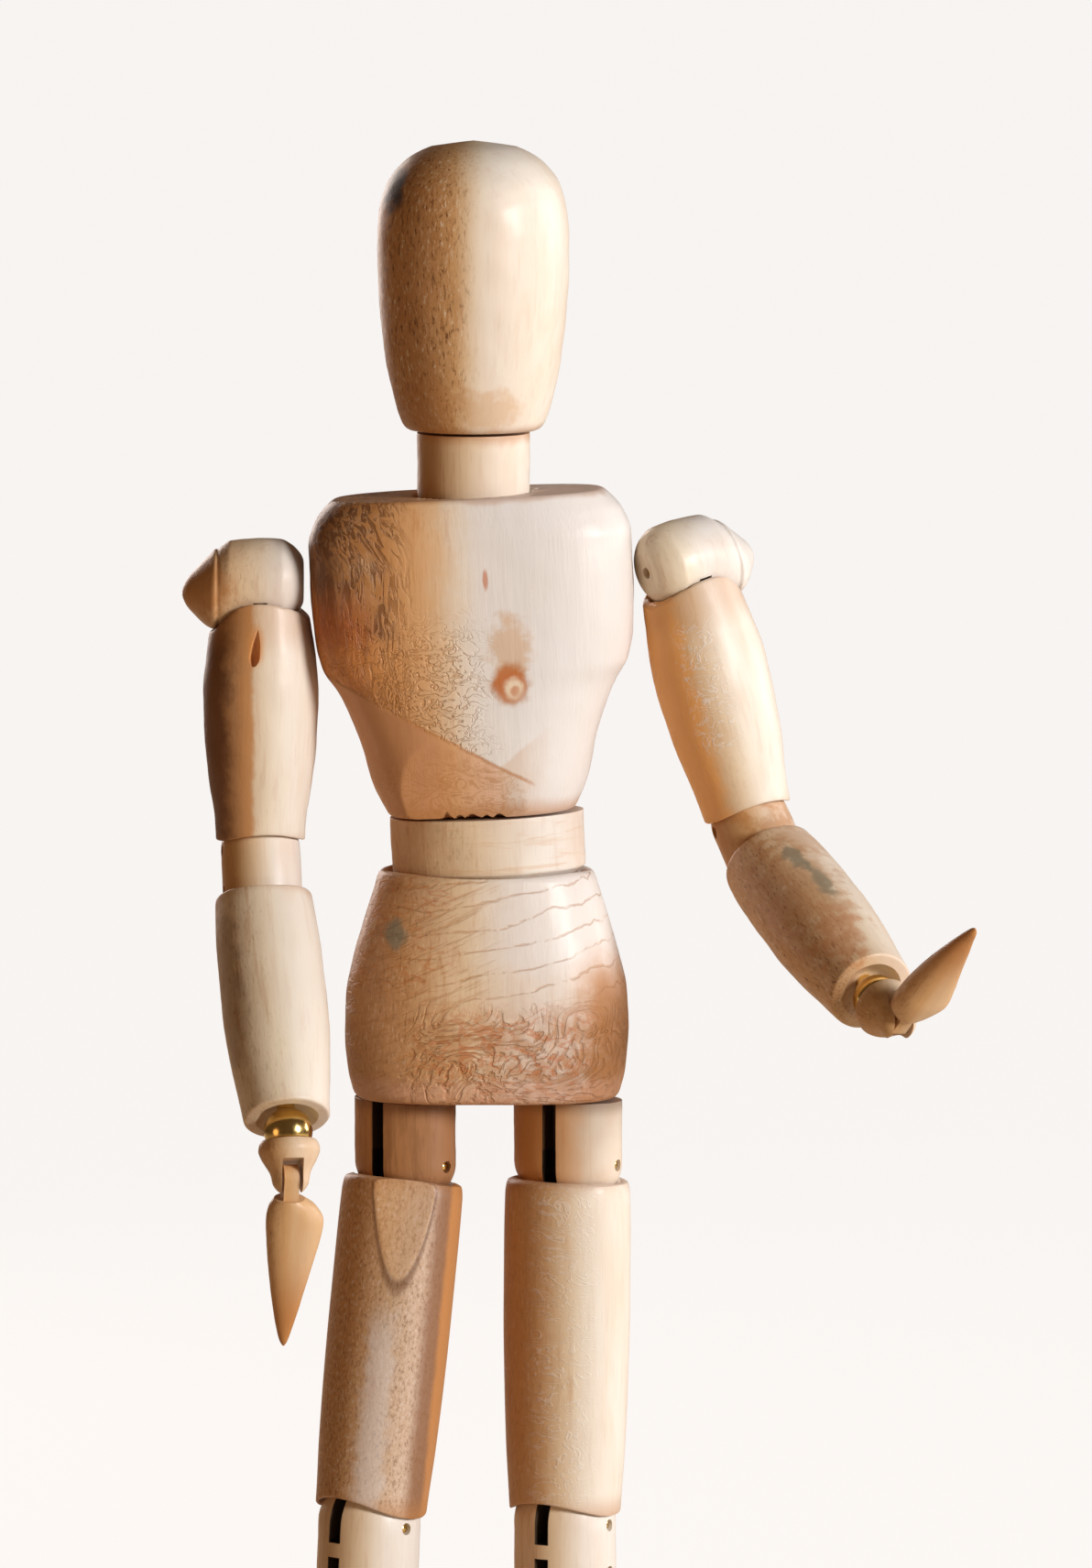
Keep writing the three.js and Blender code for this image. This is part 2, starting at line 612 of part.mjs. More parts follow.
function forearmShape() {
  const width = FOREARM_RADIUS;
  const end = FOREARM_LENGTH - WRIST_MOUTH_RISE;
  const endRadius = ELBOW_RADIUS + FOREARM_OVERHANG;
  const rings = softened(
    [
      [-end, 0.81 * width],
      [-0.9 * end, 0.86 * width],
      [-0.74 * end, 0.94 * width],
      [-0.52 * end, width],
      [-0.3 * end, 0.99 * width],
      [-0.14 * end, 0.955 * width],
      [-SIDE_LIP, endRadius],
    ],
    CUP_EDGE,
  );
  const elbowCup = upsideDown(cup({ radius: ELBOW_RADIUS, limbHalfWidth: endRadius }));
  const mouth = ball(WRIST_MOUTH_RADIUS).translate(0, 0, -FOREARM_LENGTH);
  const stemHole = post(WRIST_STEM_RADIUS + PIN_PLAY, 2 * (WRIST_STEM_LENGTH + GAP), PIN_STEPS)
    .translate(0, 0, -FOREARM_LENGTH);
  return carve(loft(rings), [...elbowCup, mouth, stemHole]);
}

function wristBallShape() {
  const stem = post(WRIST_STEM_RADIUS, WRIST_STEM_LENGTH, PIN_STEPS)
    .translate(0, 0, WRIST_STEM_LENGTH / 2);
  return join(ball(WRIST_BALL_RADIUS), [stem]);
}

// The wrist piece holds the ball at the origin and the hand's hinge below it.
function wristShape() {
  const knuckle = [20, 45, 70].map((angle) => [
    -WRIST_SPACING - KNUCKLE_RADIUS * Math.cos(radians(angle)),
    KNUCKLE_RADIUS * Math.sin(radians(angle)),
  ]);
  const rings = [
    ...knuckle,
    [-WRIST_SPACING + 0.2, KNUCKLE_RADIUS + 0.05],
    [-2.6, 0.92 * WRIST_RADIUS],
    [-1.9, WRIST_RADIUS],
    [-1.2, 0.97 * WRIST_RADIUS],
    [-0.9, 0.88 * WRIST_RADIUS],
  ];
  const slotTop = WRIST_SPACING - HAND_ROOT_RADIUS - GAP;
  const slotHeight = KNUCKLE_RADIUS + HAND_ROOT_RADIUS + 2;
  const slot = block(HAND_ROOT_THICKNESS + 2 * GAP, 4 * WRIST_RADIUS, slotHeight)
    .translate(0, 0, -slotTop - slotHeight / 2);
  return carve(loft(rings), [ball(WRIST_BALL_RADIUS + GAP), slot]);
}

// The hand's hinge is at the origin and its fingers point down.
function handShape() {
  const width = HAND_HALF_WIDTH;
  const thick = HAND_HALF_THICKNESS;
  const start = KNUCKLE_RADIUS + GAP;
  const blade = HAND_LENGTH - start;
  const rings = [
    [-HAND_LENGTH, 0.1 * width, 0.2 * thick, 2, 0.12 * thick],
    [-start - 0.88 * blade, 0.27 * width, 0.36 * thick, 2, 0.06 * thick],
    [-start - 0.7 * blade, 0.48 * width, 0.55 * thick, 2.2, 0, 0.2 * HAND_SWELL],
    [-start - 0.5 * blade, 0.69 * width, 0.75 * thick, 2.3, -0.06 * thick, 0.5 * HAND_SWELL],
    [-start - 0.3 * blade, 0.88 * width, 0.92 * thick, 2.3, -0.06 * thick, HAND_SWELL],
    [-start - 0.15 * blade, 0.96 * width, thick, 2.2, 0, 1.2 * HAND_SWELL],
    [-start - 0.05 * blade, 0.78 * width, 0.97 * thick, 2, 0, 0.6 * HAND_SWELL],
    [-start, 0.52 * width, 0.9 * thick],
  ];
  const root = crossPost(HAND_ROOT_RADIUS, HAND_ROOT_THICKNESS, ROUND_STEPS);
  const shank = block(HAND_ROOT_THICKNESS, 1.6 * HAND_ROOT_RADIUS, start + 0.5)
    .translate(0, 0, -(start + 0.5) / 2);
  return join(loft(rings), [root, shank]);
}

// The hip's pin is at the origin; the spigot above turns in the pelvis.
function hipShape() {
  const widen = HIP_HALF_WIDTH / HIP_HALF_DEPTH;
  const angles = [16, 34, 52, 71, 90].map(radians);
  const lower = angles.map((a) => {
    const halfDepth = HIP_HALF_DEPTH * Math.sin(a);
    return [-HIP_HALF_DEPTH * Math.cos(a), halfDepth * widen, halfDepth];
  });
  const top = HIP_BLOCK_RISE;
  const rings = [
    ...lower,
    [top - 0.4, HIP_HALF_WIDTH, HIP_HALF_DEPTH],
    [top, HIP_HALF_WIDTH - 0.4, HIP_HALF_DEPTH - 0.4],
  ];
  const spigot = post(HIP_SPIGOT_RADIUS, 2 * HIP_SPIGOT_LENGTH).translate(0, 0, top);
  const slot = tongueSlot(HIP_HALF_DEPTH, 2 * HIP_HALF_DEPTH).rotateX(Math.PI);
  const groove = block(TONGUE_THICKNESS + 2 * GAP, 2 * HIP_GROOVE_DEPTH, top + GAP / 2)
    .translate(0, -HIP_HALF_DEPTH, (top + GAP / 2) / 2);
  return carve(join(loft(rings), [spigot]), [slot, groove, pinHole(HIP_HALF_WIDTH)]);
}

function thighShape(side) {
  const width = THIGH_HALF_WIDTH;
  const depth = THIGH_HALF_DEPTH;
  const end = THIGH_LENGTH - SIDE_LIP;
  const endRadius = KNEE_RADIUS + LIMB_OVERHANG;
  const rings = softened(
    [
      [-end, endRadius, endRadius],
      [-0.93 * end, 0.88 * width, 0.97 * depth],
      [-0.8 * end, 0.93 * width, 0.99 * depth],
      [-0.62 * end, 0.97 * width, depth],
      [-0.42 * end, width, 0.98 * depth],
      [-0.22 * end, width, 0.98 * depth],
      [-0.09 * end, 0.985 * width, 0.98 * depth],
      [-HIP_LIP, 0.965 * width, 0.97 * depth],
    ],
    CUP_EDGE,
    THIGH_TOP_EDGE,
  );
  const widen = HIP_HALF_WIDTH / HIP_HALF_DEPTH;
  const hipCup = upsideDown(seatAndMortise(HIP_HALF_DEPTH, widen));
  const kneeCup = lowered(kneeCutters(endRadius), -THIGH_LENGTH);
  const slope = Math.atan(THIGH_FLAT_DEPTH / THIGH_FLAT_LENGTH);
  const flatTurn = radians(THIGH_FLAT_TURN);
  const surface = 0.985 * Math.hypot(width * Math.sin(flatTurn), depth * Math.cos(flatTurn));
  const flat = block(4 * width, depth, 4 * THIGH_FLAT_LENGTH)
    .translate(0, -depth / 2, 2 * THIGH_FLAT_LENGTH)
    .rotateX(-slope)
    .translate(0, -surface, -THIGH_FLAT_LENGTH - HIP_LIP)
    .rotateZ(flatTurn);
  return carve(loft(rings), [...hipCup, ...kneeCup, ...(side === "right" ? [flat] : [])]);
}

function shinShape() {
  const width = SHIN_RADIUS;
  const end = SHIN_LENGTH - ANKLE_SHIN_LIP;
  const endRadius = KNEE_RADIUS + LIMB_OVERHANG;
  const rings = softened(
    [
      [-end, 0.72 * width, 0.72 * width],
      [-0.88 * end, 0.72 * width, 0.74 * width],
      [-0.7 * end, 0.83 * width, 0.86 * width, 2, 0.1],
      [-0.48 * end, 0.95 * width, 0.98 * width, 2, 0.3],
      [-0.28 * end, width, width, 2, 0.3],
      [-0.12 * end, 0.97 * width, 0.96 * width, 2, 0.1],
      [-SIDE_LIP, endRadius, endRadius],
    ],
    CUP_EDGE,
  );
  const kneeCup = upsideDown(kneeCutters(endRadius));
  const ankleSeat = ball(ANKLE_RADIUS + GAP).translate(0, 0, -SHIN_LENGTH);
  const stemHole = post(ANKLE_STEM_RADIUS + GAP, 2 * (ANKLE_STEM_LENGTH + GAP), PIN_STEPS)
    .translate(0, 0, -SHIN_LENGTH);
  return carve(loft(rings), [...kneeCup, ankleSeat, stemHole]);
}

function ankleShape() {
  const stem = post(ANKLE_STEM_RADIUS, ANKLE_STEM_LENGTH, PIN_STEPS)
    .translate(0, 0, ANKLE_STEM_LENGTH / 2);
  return join(ball(ANKLE_RADIUS), [stem]);
}

// The ankle's centre is at the origin and the toes point to -Y.
function footShape() {
  const sole = -ANKLE_HEIGHT;
  const top = -ANKLE_FOOT_LIP;
  const toe = FOOT_HEEL - FOOT_LENGTH;
  const side = new THREE.Shape();
  const instepEnd = sole + FOOT_TOE_HEIGHT + TOE_ROUNDING;
  side.moveTo(FOOT_HEEL - HEEL_ROUNDING, sole);
  side.quadraticCurveTo(FOOT_HEEL, sole, FOOT_HEEL, sole + HEEL_ROUNDING);
  side.lineTo(FOOT_HEEL - 0.1 * HEEL_WALL, sole + HEEL_WALL);
  side.quadraticCurveTo(FOOT_HEEL - 0.3 * HEEL_WALL, top, FOOT_TOP_BACK, top);
  side.lineTo(-FOOT_TOP_FRONT, top);
  side.quadraticCurveTo(-(FOOT_TOP_FRONT + INSTEP_REACH) / 2, top, -INSTEP_REACH, instepEnd);
  side.quadraticCurveTo(toe, sole + FOOT_TOE_HEIGHT, toe, sole + TOE_ROUNDING);
  side.quadraticCurveTo(toe, sole, toe + TOE_ROUNDING, sole);
  side.closePath();
  const profile = acrossWidth(side, 2 * FOOT_WIDTH, 4);
  const half = FOOT_WIDTH / 2;
  const middle = toe + FOOT_LENGTH / 2;
  const rings = softened(
    [
      [sole - 0.01, half, FOOT_LENGTH / 2 + 0.01, 2.7, middle],
      [0.45 * sole, 0.92 * half, FOOT_LENGTH / 2 + 0.01, 2.6, middle],
      [0, 0.8 * half, FOOT_LENGTH / 2 + 0.01, 2.5, middle],
    ],
    0.5,
  );
  return carve(common(loft(rings, TORSO_STEPS), profile), [ball(ANKLE_RADIUS + GAP)]);
}

function baseShape() {
  const rings = softened([[0, BASE_RADIUS], [BASE_THICKNESS, BASE_RADIUS]], 0.5, BASE_EDGE);
  const hole = post(ROD_RADIUS + GAP, 2 * (ROD_HOLE_DEPTH + GAP))
    .translate(ROD_X, ROD_Y, BASE_THICKNESS);
  return carve(loft(rings, BASE_STEPS), [hole]);
}

// The rod stands in the stand's hole, then bends over into the back of the pelvis.
function rodShape(seat) {
  const foot = new THREE.Vector3(ROD_X, ROD_Y, BASE_THICKNESS - ROD_HOLE_DEPTH);
  const mouth = new THREE.Vector3(seat.x, ROD_Y - ROD_BEND, seat.z);
  const bendStart = new THREE.Vector3(ROD_X, ROD_Y, seat.z - 2 * ROD_BEND);
  const bend = new THREE.CubicBezierCurve3(
    bendStart,
    new THREE.Vector3(ROD_X, ROD_Y, seat.z),
    new THREE.Vector3(seat.x, ROD_Y, seat.z),
    mouth,
  );
  const section = new THREE.Shape();
  section.absarc(0, 0, ROD_RADIUS, 0, 2 * Math.PI, false);
  const alongPath = (path, steps) =>
    new THREE.ExtrudeGeometry(section, {
      steps,
      curveSegments: PIN_STEPS / 2,
      bevelEnabled: false,
      extrudePath: path,
    });
  const upright = alongPath(new THREE.LineCurve3(foot, bendStart), 1);
  const level = alongPath(new THREE.LineCurve3(mouth, seat), 1);
  return join(upright, [alongPath(bend, ROD_STEPS), level]);
}

// Building the figure

const mannequin = new THREE.Group();

function place(parent, name, geometry, material) {
  const mesh = new THREE.Mesh(geometry, material);
  mesh.name = name;
  parent.add(mesh);
  return mesh;
}

// A group whose origin is a joint; its angles turn about X, then Z, then Y.
function jointAt(parent, name, [x, y, z], { bend = 0, turn = 0, lean = 0 } = {}) {
  const group = new THREE.Group();
  group.name = name;
  group.position.set(x, y, z);
  group.rotation.set(radians(bend), radians(lean), radians(turn), "YZX");
  parent.add(group);
  return group;
}

function addTongue(parent, name, endRadius, z, flipped = false) {
  const geometry = tongue(endRadius);
  if (flipped) geometry.rotateX(Math.PI);
  place(parent, name, geometry.translate(0, 0, z), BRASS);
}

function legDrop(side) {
  const { hip, knee } = LEG_POSE[side];
  return (
    THIGH_LENGTH * Math.cos(radians(hip)) +
    KNEE_PIN_SPACING * Math.cos(radians(knee - hip)) +
    SHIN_LENGTH * Math.cos(radians(2 * knee - hip))
  );
}

const soleHeight = BASE_THICKNESS + FLOOR_PLAY;
const hipHeight = soleHeight + ANKLE_HEIGHT + Math.max(...SIDES.map(legDrop));
const pelvisBottom = hipHeight + HIP_BLOCK_RISE + GAP;
const waistAxis = pelvisBottom + PELVIS_HEIGHT + WAIST_EDGE_DROP;

function buildLeg(side) {
  const { turn, hip, knee } = LEG_POSE[side];
  const hipGroup = jointAt(
    mannequin,
    side + "_hip_turn",
    [outward(side) * HIP_SPREAD, 0, hipHeight],
    { turn },
  );
  place(hipGroup, side + "_hip_block", hipShape(), PALE_WOOD);
  place(hipGroup, side + "_hip_pin", pin(HIP_HALF_WIDTH), BRASS);
  const thigh = jointAt(hipGroup, side + "_hip_flex", [0, 0, 0], { bend: -hip });
  place(thigh, side + "_thigh", thighShape(side), PALE_WOOD);
  addTongue(thigh, side + "_hip_tongue", HIP_HALF_DEPTH, 0, true);
  addTongue(thigh, side + "_knee_upper_tongue", KNEE_RADIUS, -THIGH_LENGTH);
  const kneeGroup = jointAt(thigh, side + "_knee_upper", [0, 0, -THIGH_LENGTH], { bend: knee });
  place(kneeGroup, side + "_knee_block", linkBlock(KNEE_RADIUS, KNEE_PIN_SPACING, 9), PALE_WOOD);
  place(kneeGroup, side + "_knee_upper_pin", pin(KNEE_RADIUS), BRASS);
  place(
    kneeGroup,
    side + "_knee_lower_pin",
    pin(KNEE_RADIUS).translate(0, 0, -KNEE_PIN_SPACING),
    BRASS,
  );
  const shin = jointAt(kneeGroup, side + "_knee_lower", [0, 0, -KNEE_PIN_SPACING], { bend: knee });
  place(shin, side + "_shin", shinShape(), PALE_WOOD);
  addTongue(shin, side + "_knee_lower_tongue", KNEE_RADIUS, 0, true);
  const ankle = jointAt(shin, side + "_ankle_turn", [0, 0, -SHIN_LENGTH]);
  place(ankle, side + "_ankle_ball", ankleShape(), PALE_WOOD);
  const foot = jointAt(ankle, side + "_ankle_bend", [0, 0, 0], { bend: hip - 2 * knee });
  place(foot, side + "_foot", footShape(), WARM_WOOD);
}

function buildArm(side, chest) {
  const direction = outward(side);
  const { lean, armTurn, elbowTurn, elbow, wristTurn, wrist, hand } = ARM_POSE[side];
  const shoulderAt = chest.localToWorld(
    new THREE.Vector3(direction * SHOULDER_SPREAD, 0, CHEST_HEIGHT / 2 - SHOULDER_DROP),
  );
  const arm = jointAt(mannequin, side + "_shoulder_raise", shoulderAt.toArray(), {
    lean: -direction * lean,
    turn: armTurn,
  });
  place(arm, side + "_shoulder", shoulderShape(side), WARM_WOOD);
  place(arm, side + "_shoulder_pin", shoulderPinShape(side), BRASS);
  const upper = jointAt(arm, side + "_shoulder_swing", [0, 0, 0]);
  place(upper, side + "_upper_arm", upperArmShape(side), PALE_WOOD);
  addTongue(upper, side + "_shoulder_tongue", SHOULDER_RADIUS, 0, true);
  const elbowUpper = jointAt(upper, side + "_elbow_upper", [0, 0, -UPPER_ARM_LENGTH], {
    turn: elbowTurn,
    bend: -elbow,
  });
  const elbowBlock = linkBlock(ELBOW_RADIUS, ELBOW_PIN_SPACING, ELBOW_SLOT_REACH);
  place(elbowUpper, side + "_elbow_block", elbowBlock, PALE_WOOD);
  place(elbowUpper, side + "_elbow_upper_pin", pin(ELBOW_RADIUS), BRASS);
  place(
    elbowUpper,
    side + "_elbow_lower_pin",
    pin(ELBOW_RADIUS).translate(0, 0, -ELBOW_PIN_SPACING),
    BRASS,
  );
  const upperEnd = jointAt(upper, "", [0, 0, -UPPER_ARM_LENGTH], { turn: elbowTurn });
  addTongue(upperEnd, side + "_elbow_upper_tongue", ELBOW_RADIUS, 0);
  const forearm = jointAt(elbowUpper, side + "_elbow_lower", [0, 0, -ELBOW_PIN_SPACING], {
    bend: -elbow,
  });
  place(forearm, side + "_forearm", forearmShape(), PALE_WOOD);
  addTongue(forearm, side + "_elbow_lower_tongue", ELBOW_RADIUS, 0, true);
  const ballGroup = jointAt(forearm, "", [0, 0, -FOREARM_LENGTH]);
  place(ballGroup, side + "_wrist_ball", wristBallShape(), BRASS);
  const wristGroup = jointAt(forearm, side + "_wrist_bend", [0, 0, -FOREARM_LENGTH], {
    turn: wristTurn,
    bend: -wrist,
  });
  place(wristGroup, side + "_wrist", wristShape(), PALE_WOOD);
  const handGroup = jointAt(wristGroup, side + "_hand_bend", [0, 0, -WRIST_SPACING], {
    bend: -hand,
  });
  place(handGroup, side + "_hand", handShape(), PALE_WOOD);
}

function buildTorso() {
  const pelvis = jointAt(mannequin, "pelvis_seat", [0, 0, pelvisBottom]);
  place(pelvis, "pelvis", pelvisShape(), WARM_WOOD);
  const waist = jointAt(mannequin, "waist_tilt", [0, 0, waistAxis], { lean: WAIST_ROLL });
  place(waist, "waist", waistShape(), PALE_WOOD);
  const spineLength = WAIST_HEEL_RADIUS + WAIST_HEIGHT - WAIST_EDGE_DROP + WAIST_SPIGOT_LENGTH - 1;
  const spine = spring(spineLength).translate(0, 0, spineLength / 2 - WAIST_HEEL_RADIUS + 0.5);
  place(waist, "spine_spring", spine, STEEL);
  const chestMiddle = WAIST_HEIGHT - WAIST_EDGE_DROP + GAP + CHEST_HEIGHT / 2;
  const chestTurn = jointAt(waist, "chest_turn", [0, 0, 0]);
  const chest = jointAt(chestTurn, "", [CHEST_SHIFT, 0, chestMiddle]);
  place(chest, "chest", chestShape(), WARM_WOOD);
  const bridge = spring(2 * CHEST_HALF_WIDTH - 1.4)
    .rotateY(Math.PI / 2)
    .translate(0, 0, CHEST_HEIGHT / 2 - SHOULDER_DROP);
  place(chest, "shoulder_spring", bridge, STEEL);
  mannequin.updateMatrixWorld(true);
  const neckAt = chest.localToWorld(
    new THREE.Vector3(NECK_SHIFT, 0, CHEST_HEIGHT / 2 + NECK_SEAT_DROP),
  );
  const neck = jointAt(mannequin, "neck_tilt", neckAt.toArray());
  place(neck, "neck", neckShape(), PALE_WOOD);
  const neckLength = NECK_RADIUS + NECK_HEIGHT - NECK_SEAT_DROP - GAP + HEAD_SPIGOT_LENGTH - 1;
  const neckSpring = spring(neckLength).translate(0, 0, neckLength / 2 - NECK_RADIUS + 0.5);
  place(neck, "neck_spring", neckSpring, STEEL);
  const head = jointAt(neck, "head_turn", [0, 0, NECK_HEIGHT - NECK_SEAT_DROP]);
  place(head, "head", headShape(), WARM_WOOD);
  return chest;
}

function buildStand() {
  place(mannequin, "base", baseShape(), PALE_WOOD);
  const seat = new THREE.Vector3(
    ROD_SEAT_X,
    PELVIS_HALF_DEPTH - ROD_SEAT_DEPTH,
    pelvisBottom + ROD_SEAT_RISE,
  );
  place(mannequin, "support_rod", rodShape(seat), STEEL);
}

buildStand();
const chestGroup = buildTorso();
for (const side of SIDES) {
  buildArm(side, chestGroup);
  buildLeg(side);
}

export default mannequin;
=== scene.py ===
"""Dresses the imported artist's mannequin: smooth turned wood, brass and steel in soft studio light.

Sizes are in millimetres until a mesh is made. The figure faces -Y and its right side lies
towards -X. Each piece is made in its joint's own frame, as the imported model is.
"""

import math

import bmesh
import bpy
import numpy as np
from mathutils import Matrix, Vector


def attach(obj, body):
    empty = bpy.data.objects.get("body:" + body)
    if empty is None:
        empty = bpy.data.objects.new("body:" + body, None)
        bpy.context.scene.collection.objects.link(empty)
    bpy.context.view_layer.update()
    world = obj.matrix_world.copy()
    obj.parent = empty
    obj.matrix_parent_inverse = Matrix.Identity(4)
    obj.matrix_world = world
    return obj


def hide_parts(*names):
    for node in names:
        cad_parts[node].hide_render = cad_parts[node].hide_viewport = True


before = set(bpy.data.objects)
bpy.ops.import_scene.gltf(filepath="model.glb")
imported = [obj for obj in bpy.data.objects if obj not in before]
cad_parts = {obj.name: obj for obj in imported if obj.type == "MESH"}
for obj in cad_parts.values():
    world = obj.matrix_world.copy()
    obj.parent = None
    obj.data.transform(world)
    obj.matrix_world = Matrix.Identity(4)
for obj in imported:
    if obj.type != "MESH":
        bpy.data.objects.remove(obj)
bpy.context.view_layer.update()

MM = 0.001

# Clearances
GAP = 0.3
PIN_PLAY = 0.15
FLOOR_PLAY = 7

# Stand
BASE_RADIUS = 32
BASE_THICKNESS = 12
BASE_EDGE = 1.6
ROD_RADIUS = 1.2
ROD_X = -9.6
ROD_Y = 17
ROD_HOLE_DEPTH = 8
ROD_BEND = 5
ROD_SEAT_DEPTH = 5
ROD_SEAT_RISE = 10
ROD_SEAT_X = -5

# Head and neck
HEAD_HEIGHT = 28.6
HEAD_RADIUS = 9.5
NECK_SHIFT = 0.6
NECK_RADIUS = 5.6
NECK_HEIGHT = 6.3
NECK_SEAT_DROP = 0.6

# Chest
CHEST_SHIFT = -0.4
CHEST_HEIGHT = 31.6
CHEST_HALF_WIDTH = 16
CHEST_HALF_DEPTH = 8.3
SHOULDER_SPREAD = 20.85
SHOULDER_DROP = 7.8
FACETS = {"right": {"spread": 29.5, "tilt": 16}, "left": {"spread": 37.5, "tilt": 9}}
FACET_MEETING = 2
FACET_POINT = 5
FACET_BLEND = 0.25  # rounding of the ridge between the two facets

# Waist and pelvis
WAIST_ROLL = -2.6
WAIST_HALF_WIDTH = 9.6
WAIST_HALF_DEPTH = 6.9
WAIST_HEIGHT = 5.4
WAIST_HEEL_RADIUS = 9
PELVIS_HEIGHT = 22.9
PELVIS_HALF_WIDTH = 14.1
PELVIS_HALF_DEPTH = 9

# Hinge hardware
TONGUE_THICKNESS = 0.8
TONGUE_EYE_RADIUS = 1.3
PIN_RADIUS = 0.45
PIN_INSET = 0.25

# Arms
SHOULDER_RADIUS = 4.3
SHOULDER_NOSE = 7.8
SHOULDER_INNER = 4.2
SHOULDER_DROOP = 1.2
SHOULDER_PIN_REACH = 2.8
UPPER_ARM_LENGTH = 26.8
UPPER_ARM_RADIUS = 5.75
UPPER_ARM_LIP = 1.9
ARM_DOME_RADIUS = 8  # upper arm's top falls away to both sides
GOUGE_LENGTH = 4.3
GOUGE_WIDTH = 1.1
GOUGE_DEPTH = 0.9
GOUGE_SHIFT = -0.4
GOUGE_DROP = 6
GOUGE_LEAN = 6
ELBOW_RADIUS = 3.95
ELBOW_PIN_SPACING = 4.2
ELBOW_SLOT_REACH = 3.6
FOREARM_LENGTH = 27
FOREARM_RADIUS = 5.25
WRIST_BALL_RADIUS = 2.4
WRIST_STEM_RADIUS = 0.9
WRIST_STEM_LENGTH = 5.6
WRIST_MOUTH_RADIUS = 3.3
WRIST_MOUTH_RISE = 1.4
WRIST_RADIUS = 3.1
WRIST_SPACING = 4.5
HAND_ROOT_RADIUS = 1.2
HAND_ROOT_THICKNESS = 1.5
KNUCKLE_RADIUS = 1.9
HAND_LENGTH = 17.8
HAND_HALF_WIDTH = 2.95
HAND_HALF_THICKNESS = 1.7
HAND_SWELL = 0.5

# Legs
HIP_SPREAD = 8.1
HIP_HALF_WIDTH = 5.7
HIP_HALF_DEPTH = 4.1
HIP_BLOCK_RISE = 6.4
THIGH_LENGTH = 36.2
HIP_GROOVE_DEPTH = 2.2
THIGH_HALF_WIDTH = 6.6
THIGH_HALF_DEPTH = 5.7
THIGH_TOP_EDGE = 0.7
THIGH_EASE = 0.08  # keeps the thighs apart where they pass each other
THIGH_FLAT_LENGTH = 9
THIGH_FLAT_DEPTH = 0.9
THIGH_FLAT_TURN = 36
KNEE_RADIUS = 5.1
KNEE_PIN_SPACING = 4.7
SHIN_LENGTH = 38
SHIN_RADIUS = 5.8
ANKLE_RADIUS = 3
ANKLE_SHIN_LIP = 1.2
ANKLE_FOOT_LIP = 1
ANKLE_HEIGHT = 9
FOOT_LENGTH = 24
FOOT_WIDTH = 8.6
FOOT_HEEL = 6.5
FOOT_TOE_HEIGHT = 3

# Cupped ends of the limbs
SIDE_LIP = 0.9
FRONT_LIP = 1.9
KNEE_FRONT_LIP = 2.4
HIP_LIP = 1.6
LIMB_OVERHANG = 0.42
FOREARM_OVERHANG = 0.85

# The pose, in degrees
ARM_POSE = {
    "right": {
        "lean": 0.3,
        "arm_turn": 0,
        "elbow_turn": 10.7,
        "elbow": 18,
        "wrist_turn": 0,
        "wrist": -19,
        "hand": -29,
    },
    "left": {
        "lean": 14.8,
        "arm_turn": 30,
        "elbow_turn": -12,
        "elbow": 30,
        "wrist_turn": 20,
        "wrist": 2,
        "hand": 60,
    },
}
LEG_POSE = {
    "right": {"turn": -42, "hip": 8.5, "knee": 5},
    "left": {"turn": -28, "hip": 1, "knee": 1},
}
SIDES = ("right", "left")

# Fineness of the meshes
ROUND = 72
TORSO_ROUND = 144
SIDE_ROWS = 44
CAP_ROWS = 14
SOFT_EDGE = 0.28  # rounding of a turned piece's rims
SHARP_DEGREES = 38
WOBBLE = 0.035  # unevenness of hand-finished wood


def outward(side):
    return -1 if side == "right" else 1


# Joints


def turned_by(degrees, axis):
    return Matrix.Rotation(math.radians(degrees), 4, axis)


def joint_at(parent, place, bend=0, turn=0, lean=0):
    """The frame of a joint: its angles turn about X, then Z, then Y."""
    rotation = turned_by(lean, "Y") @ turned_by(turn, "Z") @ turned_by(bend, "X")
    return parent @ Matrix.Translation(place) @ rotation


def leg_drop(side):
    hip = LEG_POSE[side]["hip"]
    knee = LEG_POSE[side]["knee"]
    return (
        THIGH_LENGTH * math.cos(math.radians(hip))
        + KNEE_PIN_SPACING * math.cos(math.radians(knee - hip))
        + SHIN_LENGTH * math.cos(math.radians(2 * knee - hip))
    )


def find_joints():
    """Every joint's frame, by name."""
    world = Matrix.Identity(4)
    sole = BASE_THICKNESS + FLOOR_PLAY
    hip_height = sole + ANKLE_HEIGHT + max(leg_drop(side) for side in SIDES)
    pelvis_bottom = hip_height + HIP_BLOCK_RISE + GAP
    edge_drop = math.sqrt(WAIST_HEEL_RADIUS**2 - WAIST_HALF_DEPTH**2)
    joints = {"world": world, "pelvis": joint_at(world, (0, 0, pelvis_bottom))}
    waist_axis = pelvis_bottom + PELVIS_HEIGHT + edge_drop
    waist = joint_at(world, (0, 0, waist_axis), lean=WAIST_ROLL)
    chest_middle = WAIST_HEIGHT - edge_drop + GAP + CHEST_HEIGHT / 2
    chest = joint_at(waist, (CHEST_SHIFT, 0, chest_middle))
    neck_place = chest @ Vector((NECK_SHIFT, 0, CHEST_HEIGHT / 2 + NECK_SEAT_DROP))
    neck = joint_at(world, neck_place)
    joints.update(waist=waist, chest=chest, neck=neck)
    joints["head"] = joint_at(neck, (0, 0, NECK_HEIGHT - NECK_SEAT_DROP))
    for side in SIDES:
        place_arm(joints, side)
        place_leg(joints, side, hip_height)
    return joints


